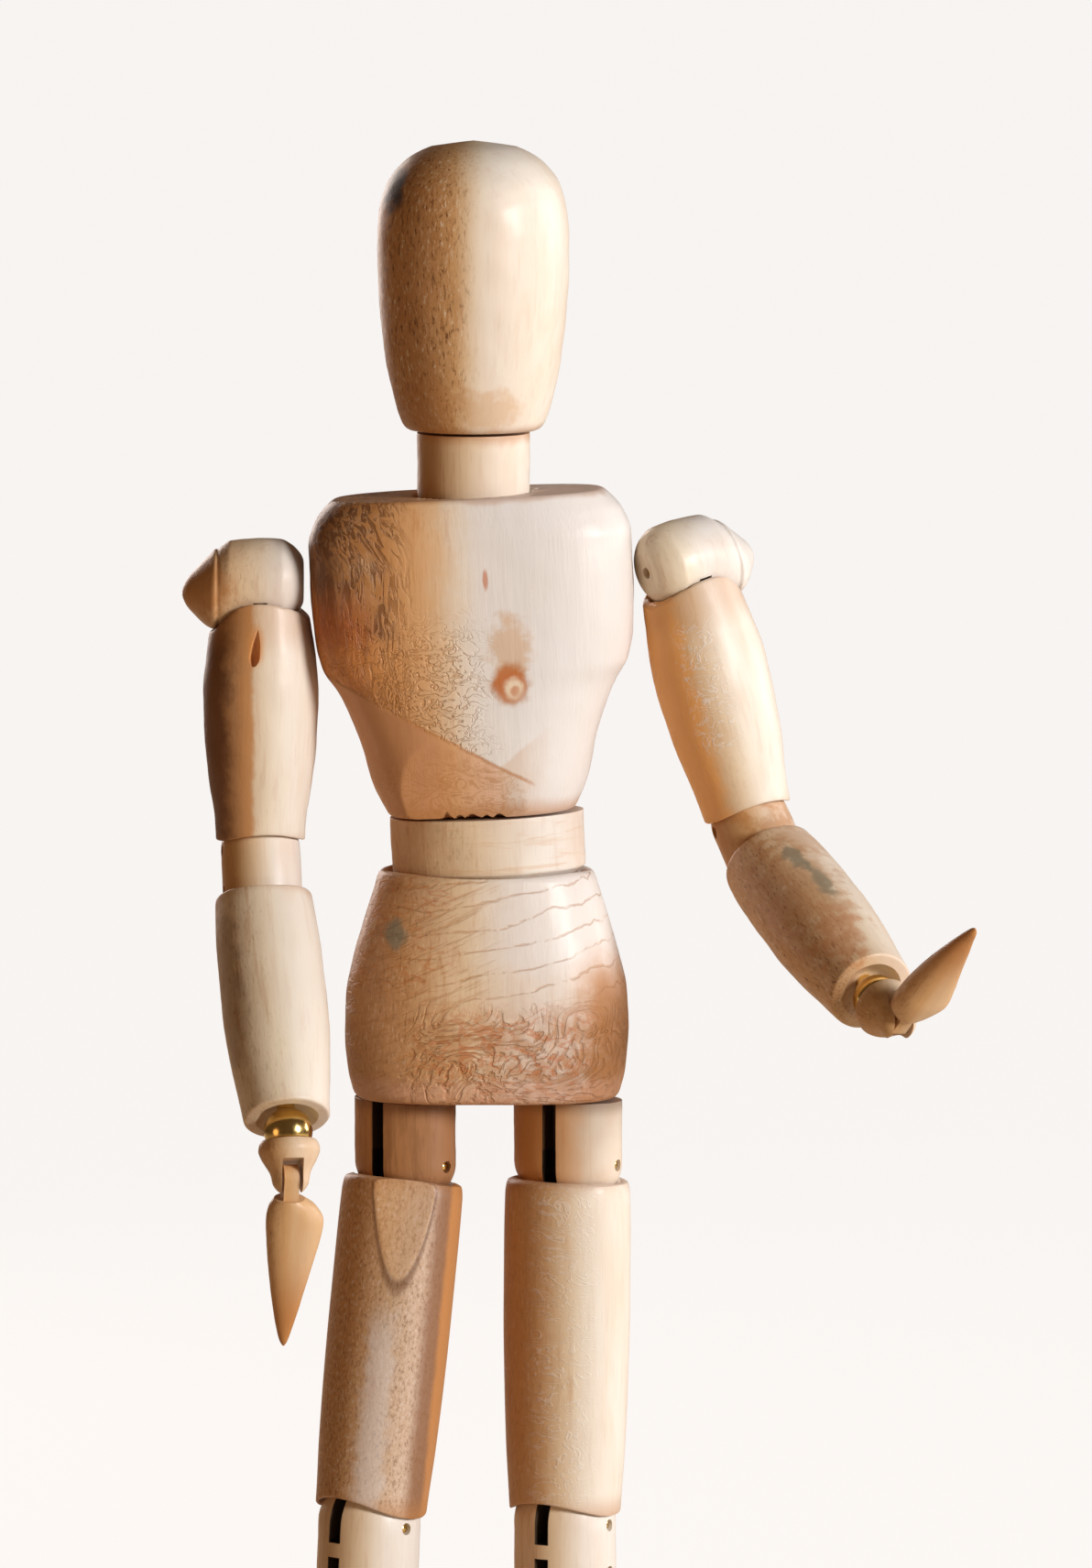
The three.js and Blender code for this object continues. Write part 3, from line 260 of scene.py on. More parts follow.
def place_arm(joints, side):
    pose = ARM_POSE[side]
    direction = outward(side)
    place = Vector((direction * SHOULDER_SPREAD, 0, CHEST_HEIGHT / 2 - SHOULDER_DROP))
    arm = joint_at(
        joints["world"], joints["chest"] @ place, lean=-direction * pose["lean"], turn=pose["arm_turn"]
    )
    elbow_place = (0, 0, -UPPER_ARM_LENGTH)
    elbow = joint_at(arm, elbow_place, bend=-pose["elbow"], turn=pose["elbow_turn"])
    forearm = joint_at(elbow, (0, 0, -ELBOW_PIN_SPACING), bend=-pose["elbow"])
    wrist_place = (0, 0, -FOREARM_LENGTH)
    wrist = joint_at(forearm, wrist_place, bend=-pose["wrist"], turn=pose["wrist_turn"])
    hand = joint_at(wrist, (0, 0, -WRIST_SPACING), bend=-pose["hand"])
    named = {"arm": arm, "elbow": elbow, "forearm": forearm, "wrist": wrist, "hand": hand}
    joints.update({f"{side}_{name}": matrix for name, matrix in named.items()})


def place_leg(joints, side, hip_height):
    pose = LEG_POSE[side]
    hip = joint_at(joints["world"], (outward(side) * HIP_SPREAD, 0, hip_height), turn=pose["turn"])
    thigh = joint_at(hip, (0, 0, 0), bend=-pose["hip"])
    knee = joint_at(thigh, (0, 0, -THIGH_LENGTH), bend=pose["knee"])
    shin = joint_at(knee, (0, 0, -KNEE_PIN_SPACING), bend=pose["knee"])
    ankle = joint_at(shin, (0, 0, -SHIN_LENGTH))
    foot = joint_at(ankle, (0, 0, 0), bend=pose["hip"] - 2 * pose["knee"])
    named = {"hip": hip, "thigh": thigh, "knee": knee, "shin": shin, "ankle": ankle, "foot": foot}
    joints.update({f"{side}_{name}": matrix for name, matrix in named.items()})


# Surfaces


def smooth_between(xs, ys, at):
    """Values at the given places on a smooth curve through the points that never overshoots."""
    steps = np.diff(xs)
    slopes = np.diff(ys) / steps
    tangents = np.zeros(len(xs))
    tangents[0] = slopes[0]
    tangents[-1] = slopes[-1]
    for i in range(1, len(xs) - 1):
        if slopes[i - 1] * slopes[i] > 0:
            tangents[i] = 2 * slopes[i - 1] * slopes[i] / (slopes[i - 1] + slopes[i])
    at = np.clip(at, xs[0], xs[-1])
    i = np.clip(np.searchsorted(xs, at) - 1, 0, len(xs) - 2)
    t = (at - xs[i]) / steps[i]
    h = steps[i]
    return (
        ys[i] * (1 + 2 * t) * (1 - t) ** 2
        + tangents[i] * h * t * (1 - t) ** 2
        + ys[i + 1] * t**2 * (3 - 2 * t)
        + tangents[i + 1] * h * t**2 * (t - 1)
    )


class Profile:
    """A round form through level rings, lowest first: [height, half-width, half-depth, squareness, y, x]."""

    def __init__(self, rings):
        full = []
        for ring in rings:
            z, width = ring[:2]
            rest = list(ring[2:]) + [width, 2, 0, 0][len(ring) - 2:]
            full.append([z, width, *rest])
        self.rings = np.array(full, dtype=float)

    def at(self, z, angles):
        zs = self.rings[:, 0]
        width, depth, square, y, x = (smooth_between(zs, self.rings[:, k], z) for k in range(1, 6))
        cos = np.cos(angles)
        sin = np.sin(angles)
        return (
            x + width * np.sign(cos) * np.abs(cos) ** (2 / square),
            y + depth * np.sign(sin) * np.abs(sin) ** (2 / square),
        )

    def middle(self, z):
        zs = self.rings[:, 0]
        return smooth_between(zs, self.rings[:, 5], z), smooth_between(zs, self.rings[:, 4], z)


def level(height):
    return lambda x, y: np.full_like(x, height)


def uneven(points, amount):
    """Moves points by a gentle fixed wobble."""
    x, y, z = points.T
    wave = (
        np.sin(0.61 * x + 0.23 * z + 1.3) * np.cos(0.47 * y - 0.31 * z)
        + 0.6 * np.sin(1.27 * z + 0.8 * x) * np.cos(1.1 * y + 0.4)
        + 0.35 * np.sin(2.3 * x - 1.9 * z) * np.cos(2.1 * y + 1.7 * z)
    )
    lengths = np.maximum(np.hypot(x, y), 1e-6)
    moved = points.copy()
    moved[:, 0] += amount * wave * x / lengths
    moved[:, 1] += amount * wave * y / lengths
    return moved


def form(rings, bottom, top, steps=ROUND, rows=SIDE_ROWS, edge=SOFT_EDGE, wobble=WOBBLE, trim=None):
    """A closed form round a profile between two end surfaces, each a height at (x, y)."""
    profile = Profile(rings)
    angles = np.arange(steps) * 2 * math.pi / steps

    def rim(surface, z):
        height = np.full(steps, float(z))
        for _ in range(8):
            x, y = profile.at(height, angles)
            height = 0.5 * height + 0.5 * surface(x, y)
        return height

    low = rim(bottom, rings[0][0])
    high = rim(top, rings[-1][0])

    def corner(surface, height, inward):
        """Three rows round a rim and the rows across the end, from the rim to the middle."""
        x, y = profile.at(height, angles)
        side_x, side_y = profile.at(height + inward * edge, angles)
        middle_x, middle_y = profile.middle(height)
        reach = np.maximum(np.hypot(x - middle_x, y - middle_y), 1e-6)
        keep = 1 - edge / reach
        cap_x = middle_x + (x - middle_x) * keep
        cap_y = middle_y + (y - middle_y) * keep
        start = np.stack([side_x, side_y, height + inward * edge], axis=1)
        turn = np.stack([x, y, height], axis=1)
        end = np.stack([cap_x, cap_y, surface(cap_x, cap_y)], axis=1)
        rows_round = [
            (1 - t) ** 2 * start + 2 * t * (1 - t) * turn + t**2 * end for t in (0.25, 0.5, 0.75)
        ]
        rows_across = []
        for i in range(CAP_ROWS):
            share = 1 - i / CAP_ROWS
            across_x = middle_x + (cap_x - middle_x) * share
            across_y = middle_y + (cap_y - middle_y) * share
            rows_across.append(np.stack([across_x, across_y, surface(across_x, across_y)], axis=1))
        centre_x = np.array([np.mean(middle_x)])
        centre_y = np.array([np.mean(middle_y)])
        centre = np.stack([centre_x, centre_y, surface(centre_x, centre_y)], axis=1)
        return rows_round, rows_across, centre

    low_round, low_across, low_centre = corner(bottom, low, 1)
    high_round, high_across, high_centre = corner(top, high, -1)
    loops = [*reversed(low_across), *reversed(low_round)]
    for i in range(rows + 1):
        height = low + edge + (high - low - 2 * edge) * i / rows
        x, y = profile.at(height, angles)
        loops.append(np.stack([x, y, height], axis=1))
    loops += [*high_round, *high_across]
    points = np.concatenate([low_centre, *loops, high_centre])
    if trim is not None:
        points = trim(points)
    return uneven(points, wobble), loop_faces(len(loops), steps)


def loop_faces(count, steps):
    """Faces of a closed form: a first point, loops of points, and a last point."""
    faces = []
    last = 1 + count * steps
    for i in range(steps):
        j = (i + 1) % steps
        faces.append((0, 1 + j, 1 + i))
        for row in range(count - 1):
            a = 1 + row * steps
            faces.append((a + i, a + j, a + j + steps, a + i + steps))
        top = last - steps
        faces.append((top + i, top + j, last))
    return faces


def revolved(outline, steps=ROUND):
    """A form turned about Z from [height, radius] points, lowest first, with poles at both ends."""
    angles = np.arange(steps) * 2 * math.pi / steps
    loops = [
        np.stack([r * np.cos(angles), r * np.sin(angles), np.full(steps, z)], axis=1)
        for z, r in outline[1:-1]
    ]
    points = np.concatenate([[[0, 0, outline[0][0]]], *loops, [[0, 0, outline[-1][0]]]])
    return points, loop_faces(len(loops), steps)


def arc(radius, middle, start, end, count):
    """[height, radius] points on a round profile; angles are from straight down."""
    return [
        [middle - radius * math.cos(math.radians(a)), radius * math.sin(math.radians(a))]
        for a in np.linspace(start, end, count)
    ]


def tube(points, radius, steps=32):
    """A closed tube along points."""
    points = [Vector(p) for p in points]
    first = (points[1] - points[0]).normalized()
    side = Vector((0, 1, 0)) if abs(first.x) > 0.9 else Vector((1, 0, 0))
    loops = []
    for i, point in enumerate(points):
        ahead = points[min(i + 1, len(points) - 1)] - points[max(i - 1, 0)]
        ahead.normalize()
        side = (side - ahead * side.dot(ahead)).normalized()
        up = ahead.cross(side)
        ring = [
            point + radius * (math.cos(a) * side + math.sin(a) * up)
            for a in (2 * math.pi * k / steps for k in range(steps))
        ]
        loops.append(np.array([list(p) for p in ring]))
    ends = [[list(points[0])], *loops, [list(points[-1])]]
    return np.concatenate(ends), loop_faces(len(loops), steps)


# Making the pieces

joints = find_joints()


def make_object(name, points, faces):
    mesh = bpy.data.meshes.new(name)
    mesh.from_pydata([tuple(p) for p in points], [], faces)
    mesh.update()
    obj = bpy.data.objects.new(name, mesh)
    bpy.context.collection.objects.link(obj)
    return obj


def box_object(size, place, rotation=None):
    x, y, z = (value / 2 for value in size)
    corners = [Vector((a * x, b * y, c * z)) for c in (-1, 1) for b in (-1, 1) for a in (-1, 1)]
    if rotation is not None:
        corners = [rotation @ corner for corner in corners]
    points = [corner + Vector(place) for corner in corners]
    faces = [(0, 2, 3, 1), (4, 5, 7, 6), (0, 1, 5, 4), (2, 6, 7, 3), (0, 4, 6, 2), (1, 3, 7, 5)]
    return make_object("cutter", points, faces)


def rod_object(radius, start, end, steps=24):
    points, faces = tube([start, end], radius, steps)
    return make_object("cutter", points, faces)


def cut_away(obj, cutters):
    for cutter in cutters:
        modifier = obj.modifiers.new("cut", "BOOLEAN")
        modifier.operation = "DIFFERENCE"
        modifier.solver = "EXACT"
        modifier.object = cutter
    graph = bpy.context.evaluated_depsgraph_get()
    mesh = bpy.data.meshes.new_from_object(obj.evaluated_get(graph))
    obj.modifiers.clear()
    obj.data = mesh
    for cutter in cutters:
        bpy.data.objects.remove(cutter)


def finish_mesh(obj, matrix):
    """Puts the mesh in its place in metres, and shades it smooth but for its sharp edges."""
    obj.data.transform(Matrix.Scale(MM, 4) @ matrix)
    mesh = bmesh.new()
    mesh.from_mesh(obj.data)
    bmesh.ops.recalc_face_normals(mesh, faces=mesh.faces)
    for face in mesh.faces:
        face.smooth = True
    for edge in mesh.edges:
        edge.smooth = edge.calc_face_angle(0) < math.radians(SHARP_DEGREES)
    mesh.to_mesh(obj.data)
    mesh.free()


def add(node, shape, joint, material, body, cutters=()):
    """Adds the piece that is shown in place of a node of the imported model."""
    points, faces = shape
    obj = make_object(node + "_form", points, faces)
    if cutters:
        cut_away(obj, cutters)
    finish_mesh(obj, joints[joint])
    obj.data.materials.clear()
    obj.data.materials.append(material)
    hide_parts(node)
    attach(obj, body)
    return obj


# Materials


class Graph:
    """Builds a material's nodes."""

    def __init__(self, name):
        self.material = bpy.data.materials.new(name)
        self.material.use_nodes = True
        self.tree = self.material.node_tree
        self.tree.nodes.clear()

    def node(self, kind, inputs=None, **settings):
        node = self.tree.nodes.new("ShaderNode" + kind)
        for key, value in settings.items():
            setattr(node, key, value)
        for key, value in (inputs or {}).items():
            if isinstance(value, bpy.types.NodeSocket):
                self.tree.links.new(value, node.inputs[key])
            else:
                node.inputs[key].default_value = value
        return node

    def math(self, operation, a, b=0.0, c=0.0, clamp=False):
        node = self.node("Math", {0: a, 1: b, 2: c}, operation=operation, use_clamp=clamp)
        return node.outputs[0]

    def mix(self, factor, a, b, blend="MIX"):
        node = self.node("Mix", {0: factor, 6: a, 7: b}, data_type="RGBA", blend_type=blend)
        return node.outputs[2]

    def ramp(self, value, low, high, out_low=0.0, out_high=1.0):
        inputs = {0: value, 1: low, 2: high, 3: out_low, 4: out_high}
        return self.node("MapRange", inputs, interpolation_type="SMOOTHSTEP").outputs[0]

    def stretched(self, vector, scales):
        return self.node("VectorMath", {0: vector, 1: scales}, operation="MULTIPLY").outputs[0]

    def noise(self, vector, scale, detail=4.0, roughness=0.55, distortion=0.0):
        inputs = {
            "Vector": vector,
            "Scale": scale,
            "Detail": detail,
            "Roughness": roughness,
            "Distortion": distortion,
        }
        return self.node("TexNoise", inputs).outputs[0]

    def wave(self, vector, scale, distortion, detail=2.0, detail_scale=1.0, direction="Z"):
        inputs = {
            "Vector": vector,
            "Scale": scale,
            "Distortion": distortion,
            "Detail": detail,
            "Detail Scale": detail_scale,
        }
        return self.node("TexWave", inputs, bands_direction=direction).outputs[1]

    def dot(self, vector, direction):
        return self.node("VectorMath", {0: vector, 1: direction}, operation="DOT_PRODUCT").outputs["Value"]

    def local(self, matrix):
        """Coordinates in a joint's own frame, in millimetres."""
        place, rotation, _ = matrix.decompose()
        coordinates = self.node("TexCoord").outputs["Object"]
        inputs = {
            "Vector": coordinates,
            "Location": place * MM,
            "Rotation": rotation.to_euler("XYZ"),
            "Scale": (MM, MM, MM),
        }
        return self.node("Mapping", inputs, vector_type="TEXTURE").outputs[0]


PALE = (0.755, 0.705, 0.675, 1)
CREAM = (0.80, 0.675, 0.50, 1)
TAN = (0.60, 0.34, 0.15, 1)
HONEY = (0.46, 0.19, 0.055, 1)
UMBER = (0.15, 0.055, 0.02, 1)
DARK = (0.24, 0.10, 0.04, 1)
ORANGE = (0.72, 0.31, 0.09, 1)
RUST = (0.50, 0.13, 0.025, 1)
ROSE = (0.62, 0.33, 0.21, 1)
GREENISH = (0.17, 0.18, 0.13, 1)
BLUE_BLACK = (0.02, 0.025, 0.04, 1)
BLACK = (0.012, 0.006, 0.003, 1)
SLOT_HALF = TONGUE_THICKNESS / 2 + GAP


class Wood(Graph):
    """Varnished wood, painted layer by layer in its joint's own frame, in millimetres."""

    def __init__(self, name, joint):
        super().__init__(name)
        self.vector = self.local(joints[joint])
        self.across, _, z = self.node("SeparateXYZ", {0: self.vector}).outputs
        rotation = joints[joint].to_3x3()
        sideways = rotation.transposed() @ Vector((1, 0, 0))
        sideways = Vector((sideways.x, sideways.y, 0)).normalized()
        backwards = Vector((-sideways.y, sideways.x, 0))
        self.parts = {"x": self.dot(self.vector, sideways), "y": self.dot(self.vector, backwards), "z": z}
        self.broad = self.noise(self.stretched(self.vector, (1.0, 1.0, 0.4)), 0.13, 3.0, 0.6, 0.6)
        self.cloud = self.noise(self.vector, 0.55, 4.0, 0.6)
        self.streak = self.noise(self.stretched(self.vector, (1.0, 1.0, 0.09)), 1.35, 6.0, 0.62, 0.25)
        self.fine = self.noise(self.stretched(self.vector, (1.0, 1.0, 0.05)), 4.2, 3.0, 0.6)
        self.colour = CREAM
        self.height = self.math("MULTIPLY_ADD", self.streak, 0.3, self.math("MULTIPLY", self.fine, 0.15))

    def centred(self, value, amount):
        """A noise as a number round 0."""
        return self.math("MULTIPLY", self.math("SUBTRACT", value, 0.5), amount)

    def times(self, *values):
        product = values[0]
        for value in values[1:]:
            product = self.math("MULTIPLY", product, value)
        return product

    def tint(self, amount, colour):
        self.colour = self.mix(amount, self.colour, colour)

    def raise_by(self, amount, factor):
        self.height = self.math("MULTIPLY_ADD", amount, factor, self.height)

    def region(self, spans, ragged=1.5):
        """1 where every span is past its second number and 0 before its first, with ragged edges."""
        rough = self.centred(self.cloud, 2 * ragged)
        share = None
        for axis, start, stop in spans:
            place = self.math("ADD", self.parts[axis], rough) if axis != "y" else self.parts["y"]
            edge = self.ramp(place, start, stop)
            share = edge if share is None else self.times(share, edge)
        return share

    def below_line(self, place, slope, soft=0.4, ragged=0.5):
        """1 below a sloping line on the front, 0 above it."""
        line = self.math("MULTIPLY_ADD", self.math("SUBTRACT", self.parts["x"], place[0]), slope, place[1])
        above = self.math("SUBTRACT", self.parts["z"], line)
        above = self.math("ADD", above, self.centred(self.cloud, ragged))
        return self.ramp(above, soft, -soft), above

    def spot(self, place, size, ragged=0.5, grain=0.6):
        """1 in the middle of an oval patch on the front, falling to 0 outside it."""
        x = self.math("DIVIDE", self.math("SUBTRACT", self.parts["x"], place[0]), size[0])
        z = self.math("DIVIDE", self.math("SUBTRACT", self.parts["z"], place[1]), size[1])
        squares = self.math("ADD", self.times(x, x), self.times(z, z))
        rough = self.centred(self.noise(self.vector, grain, 5.0), 2 * ragged)
        distance = self.math("ADD", rough, self.math("SQRT", squares))
        front = self.ramp(self.parts["y"], 0.5, -1.5)
        return self.times(self.ramp(distance, 1.0, 0.45), front)

    def contours(self, vector, scale, count, thin=0.35, distortion=0.6, detail=3.0):
        """Swirling lines: 1 on the level lines of a noise."""
        field = self.noise(vector, scale, detail, 0.5, distortion)
        saw = self.math("FRACT", self.math("MULTIPLY", field, count))
        fold = self.math("ABSOLUTE", self.math("SUBTRACT", saw, 0.5))
        return self.ramp(fold, thin, 0.04)

    def tones(self, tone=0.4, left=0.5, width=10, grain=1.0, pale=0.6):
        """The wood's tone, with painted shade browning its right-hand side (towards -X, away from the key lamp) and
        painted light paling its left.
        """
        parts = self.parts
        shifted = self.math("MULTIPLY_ADD", self.math("SUBTRACT", self.broad, 0.5), width, parts["x"])
        # painted shade: side is 1 on the right-hand side, away from the key lamp
        self.side = self.ramp(shifted, width * 0.35, -width * 0.8)
        # painted light: lit is 1 on the left-hand side, towards the key lamp, and pales the wood there
        lit = self.ramp(shifted, -width * 0.25, width * 0.6)
        self.tint(self.times(lit, pale), PALE)
        # tan from the tone, from random broad patches and from the painted shade
        share = self.math("MULTIPLY_ADD", self.side, left, tone * 0.5)
        share = self.math("ADD", share, self.centred(self.broad, 1.0))
        self.tint(self.math("MAXIMUM", self.math("MINIMUM", share, 1.0), 0.0), TAN)
        # painted shade: honey-brown, deepest on the far right-hand side
        deep = self.ramp(shifted, -width * 0.25, -width * 1.1)
        self.tint(self.times(deep, 0.55 * left), HONEY)
        # the grain's streaks and fine lines, stronger where shade is painted
        strength = self.math("MULTIPLY_ADD", self.side, 0.5, 0.14 * grain)
        self.tint(self.times(self.ramp(self.streak, 0.5, 0.74), strength), HONEY)
        strength = self.math("MULTIPLY_ADD", self.side, 0.3, 0.12 * grain)
        self.tint(self.times(self.ramp(self.fine, 0.58, 0.76), strength), HONEY)

    def flecks(self, strength, mask=None, scale=3.4, relief=0.5):
        """Short dark and pale flecks along the grain."""
        mask = self.side if mask is None else mask
        fleck = self.noise(self.stretched(self.vector, (1.0, 1.0, 0.3)), scale, 4.0, 0.7, 0.5)
        self.tint(self.times(self.ramp(fleck, 0.53, 0.66), mask, strength), UMBER)
        self.tint(self.times(self.ramp(fleck, 0.44, 0.32), mask, 0.8 * strength), CREAM)
        self.raise_by(self.times(self.math("SUBTRACT", fleck, 0.5), mask), -relief)

    def shade_right(self, zero, full, strength, colour=HONEY):
        """Browns the wood towards its right-hand edge."""
        place = self.math("ADD", self.parts["x"], self.centred(self.broad, 2.0))
        self.tint(self.times(self.ramp(place, zero, full), strength), colour)

    def darken_ends(self, spans):
        """Browns the wood towards its ends: partly brown stains, partly painted shade where a piece meets the next.
        Each span is [height where it starts, height where it is full, strength].
        """
        for start, stop, strength in spans:
            rough = self.math("ADD", self.parts["z"], self.centred(self.broad, 2.0))
            self.tint(self.times(self.ramp(rough, start, stop), strength), HONEY)

    def shade_slot(self, low=-100, high=100, front=100):
        """Darkens the inside of the saw cut for the tongue, between two heights and up to `front`."""
        near = self.ramp(self.math("ABSOLUTE", self.across), SLOT_HALF + 0.1, SLOT_HALF + 0.02)
        _, y, _ = self.node("SeparateXYZ", {0: self.vector}).outputs
        above = self.ramp(self.parts["z"], low, low + 0.01)
        below = self.ramp(self.parts["z"], high, high - 0.01)
        ahead = self.ramp(y, front, front - 0.01)
        self.tint(self.times(near, above, below, ahead, 0.93), BLACK)

    def ripples(self, strength, mask):
        """Pale strokes across the grain."""
        wavy = self.contours(self.stretched(self.vector, (0.45, 1.0, 1.0)), 0.55, 6.0, 0.16, 1.2, 3.0)
        self.tint(self.times(wavy, mask, strength), PALE)
        self.raise_by(self.times(wavy, mask), 0.5)

    def spots(self, patches):
        for place, size, colour, strength, ragged in patches:
            self.tint(self.times(self.spot(place, size, ragged), strength), colour)

    def finish(self, relief=0.32):
        bump = self.node("Bump", {"Height": self.height, "Strength": relief, "Distance": 0.00022})
        gloss = self.math("MULTIPLY_ADD", self.streak, 0.2, 0.34)
        surface = self.node(
            "BsdfPrincipled",
            {
                "Base Color": self.colour,
                "Roughness": gloss,
                "Normal": bump.outputs[0],
                "IOR": 1.46,
                "Specular IOR Level": 0.32,
                "Coat Weight": 0.08,
                "Coat Roughness": 0.22,
            },
        )
        self.node("OutputMaterial", {0: surface.outputs[0]})
        return self.material


def wood(name, joint, tone=0.4, left=0.5, width=10, ends=(), burr=0.0, spots=(), grain=1.0, pale=0.6):
    """A plain piece's wood: burr is the strength of its flecks, left that of its painted shade and pale that of its
    painted light.
    """
    w = Wood(name, joint)
    w.tones(tone, left, width, grain, pale)
    if burr:
        w.flecks(burr)
    w.spots(spots)
    w.darken_ends(ends)
    return w


def metal(name, colour, roughness, wear):
    g = Graph(name)
    coordinates = g.node("TexCoord").outputs["Object"]
    cloud = g.noise(coordinates, 420.0, 4.0, 0.6)
    scratch = g.noise(g.stretched(coordinates, (1.0, 1.0, 0.12)), 2600.0, 3.0, 0.6)
    dull = tuple(0.45 * c for c in colour[:3]) + (1,)
    shade = g.mix(g.math("MULTIPLY", g.ramp(cloud, 0.5, 0.75), wear), colour, dull)
    rough = g.math("MULTIPLY_ADD", scratch, 0.25, roughness - 0.1)
    bump = g.node("Bump", {"Height": scratch, "Strength": 0.15, "Distance": 0.00005})
    surface = g.node(
        "BsdfPrincipled",
        {"Base Color": shade, "Metallic": 1.0, "Roughness": rough, "Normal": bump.outputs[0]},
    )
    g.node("OutputMaterial", {0: surface.outputs[0]})
    return g.material


BRASS = metal("brass", (0.78, 0.55, 0.20, 1), 0.16, 0.35)
STEEL = metal("steel", (0.58, 0.57, 0.55, 1), 0.32, 0.3)

# End surfaces: the height of a piece's end at (x, y)


def cup_surface(radius, limb_half_width, turn=0.0, front_lip=FRONT_LIP):
    """How far a cupped end lies from its pin's level: a ring, an arch and a round seat."""
    rise = front_lip - SIDE_LIP
    arch_radius = (limb_half_width**2 + rise**2) / (2 * rise)
    seat = radius + GAP
    cos = math.cos(math.radians(turn))
    sin = math.sin(math.radians(turn))

    def height(x, y):
        across = cos * x + sin * y
        along = -sin * x + cos * y
        arch = front_lip - arch_radius + np.sqrt(np.maximum(arch_radius**2 - across**2, 0))
        dish = np.sqrt(np.maximum(seat**2 - across**2 - along**2, 0))
        return np.maximum(np.maximum(SIDE_LIP, arch), dish)

    return height


def cup_above(pin_height, surface):
    """The lower end of a limb that sits over a pin."""
    return lambda x, y: pin_height + surface(x, y)


def cup_below(pin_height, surface):
    return lambda x, y: pin_height - surface(x, y)


def dent(height, radius, middle, upwards):
    """A flat end with a round dent whose centre is at the height `middle`."""

    def surface(x, y):
        dish = np.sqrt(np.maximum(radius**2 - x**2 - y**2, 0))
        if upwards:
            return np.maximum(height, middle + dish)
        return np.minimum(height, middle - dish)

    return surface


# The wooden pieces


def add_head():
    height = HEAD_HEIGHT
    width = HEAD_RADIUS
    rings = [
        [0, 0.7 * width],
        [0.035 * height, 0.755 * width],
        [0.1 * height, 0.82 * width],
        [0.25 * height, 0.915 * width],
        [0.4 * height, 0.965 * width],
        [0.55 * height, 0.995 * width],
        [0.66 * height, width],
        [0.76 * height, 0.975 * width],
        [0.85 * height, 0.9 * width],
        [0.925 * height, 0.73 * width],
        [0.972 * height, 0.5 * width],
        [0.993 * height, 0.27 * width],
        [height, 0.05 * width],
    ]
    shape = form(rings, level(0), level(height), steps=TORSO_ROUND, rows=90, edge=0.6)
    spots = [
        ((-8.2, 24.4), (2.2, 3.4), BLUE_BLACK, 0.9, 0.5),
        ((-4.4, 3.0), (4.5, 4.0), HONEY, 0.5, 0.9),
        ((1.2, 2.4), (4.0, 2.6), TAN, 0.5, 0.8),
    ]
    # painted shade: the head darkens at its bottom, over the neck
    material = wood("head_wood", "head", tone=0.15, left=1.25, width=4.5, burr=0.9, spots=spots, ends=[(1.2, 0, 0.5)]).finish()
    add("head", shape, "head", material, "head")


def add_neck():
    top = NECK_HEIGHT - NECK_SEAT_DROP - GAP
    rings = [
        [-NECK_RADIUS, 0.06],
        *arc(NECK_RADIUS, 0, 8, 90, 10),
        [top, NECK_RADIUS],
    ]
    shape = form(rings, level(-NECK_RADIUS), level(top), rows=40, edge=0.05)
    # painted shade: the neck darkens at its top, under the head
    material = wood("neck_wood", "neck", tone=0.3, left=0.8, width=6, ends=[(4.2, 5.4, 0.6)]).finish()
    add("neck", shape, "neck", material, "neck")


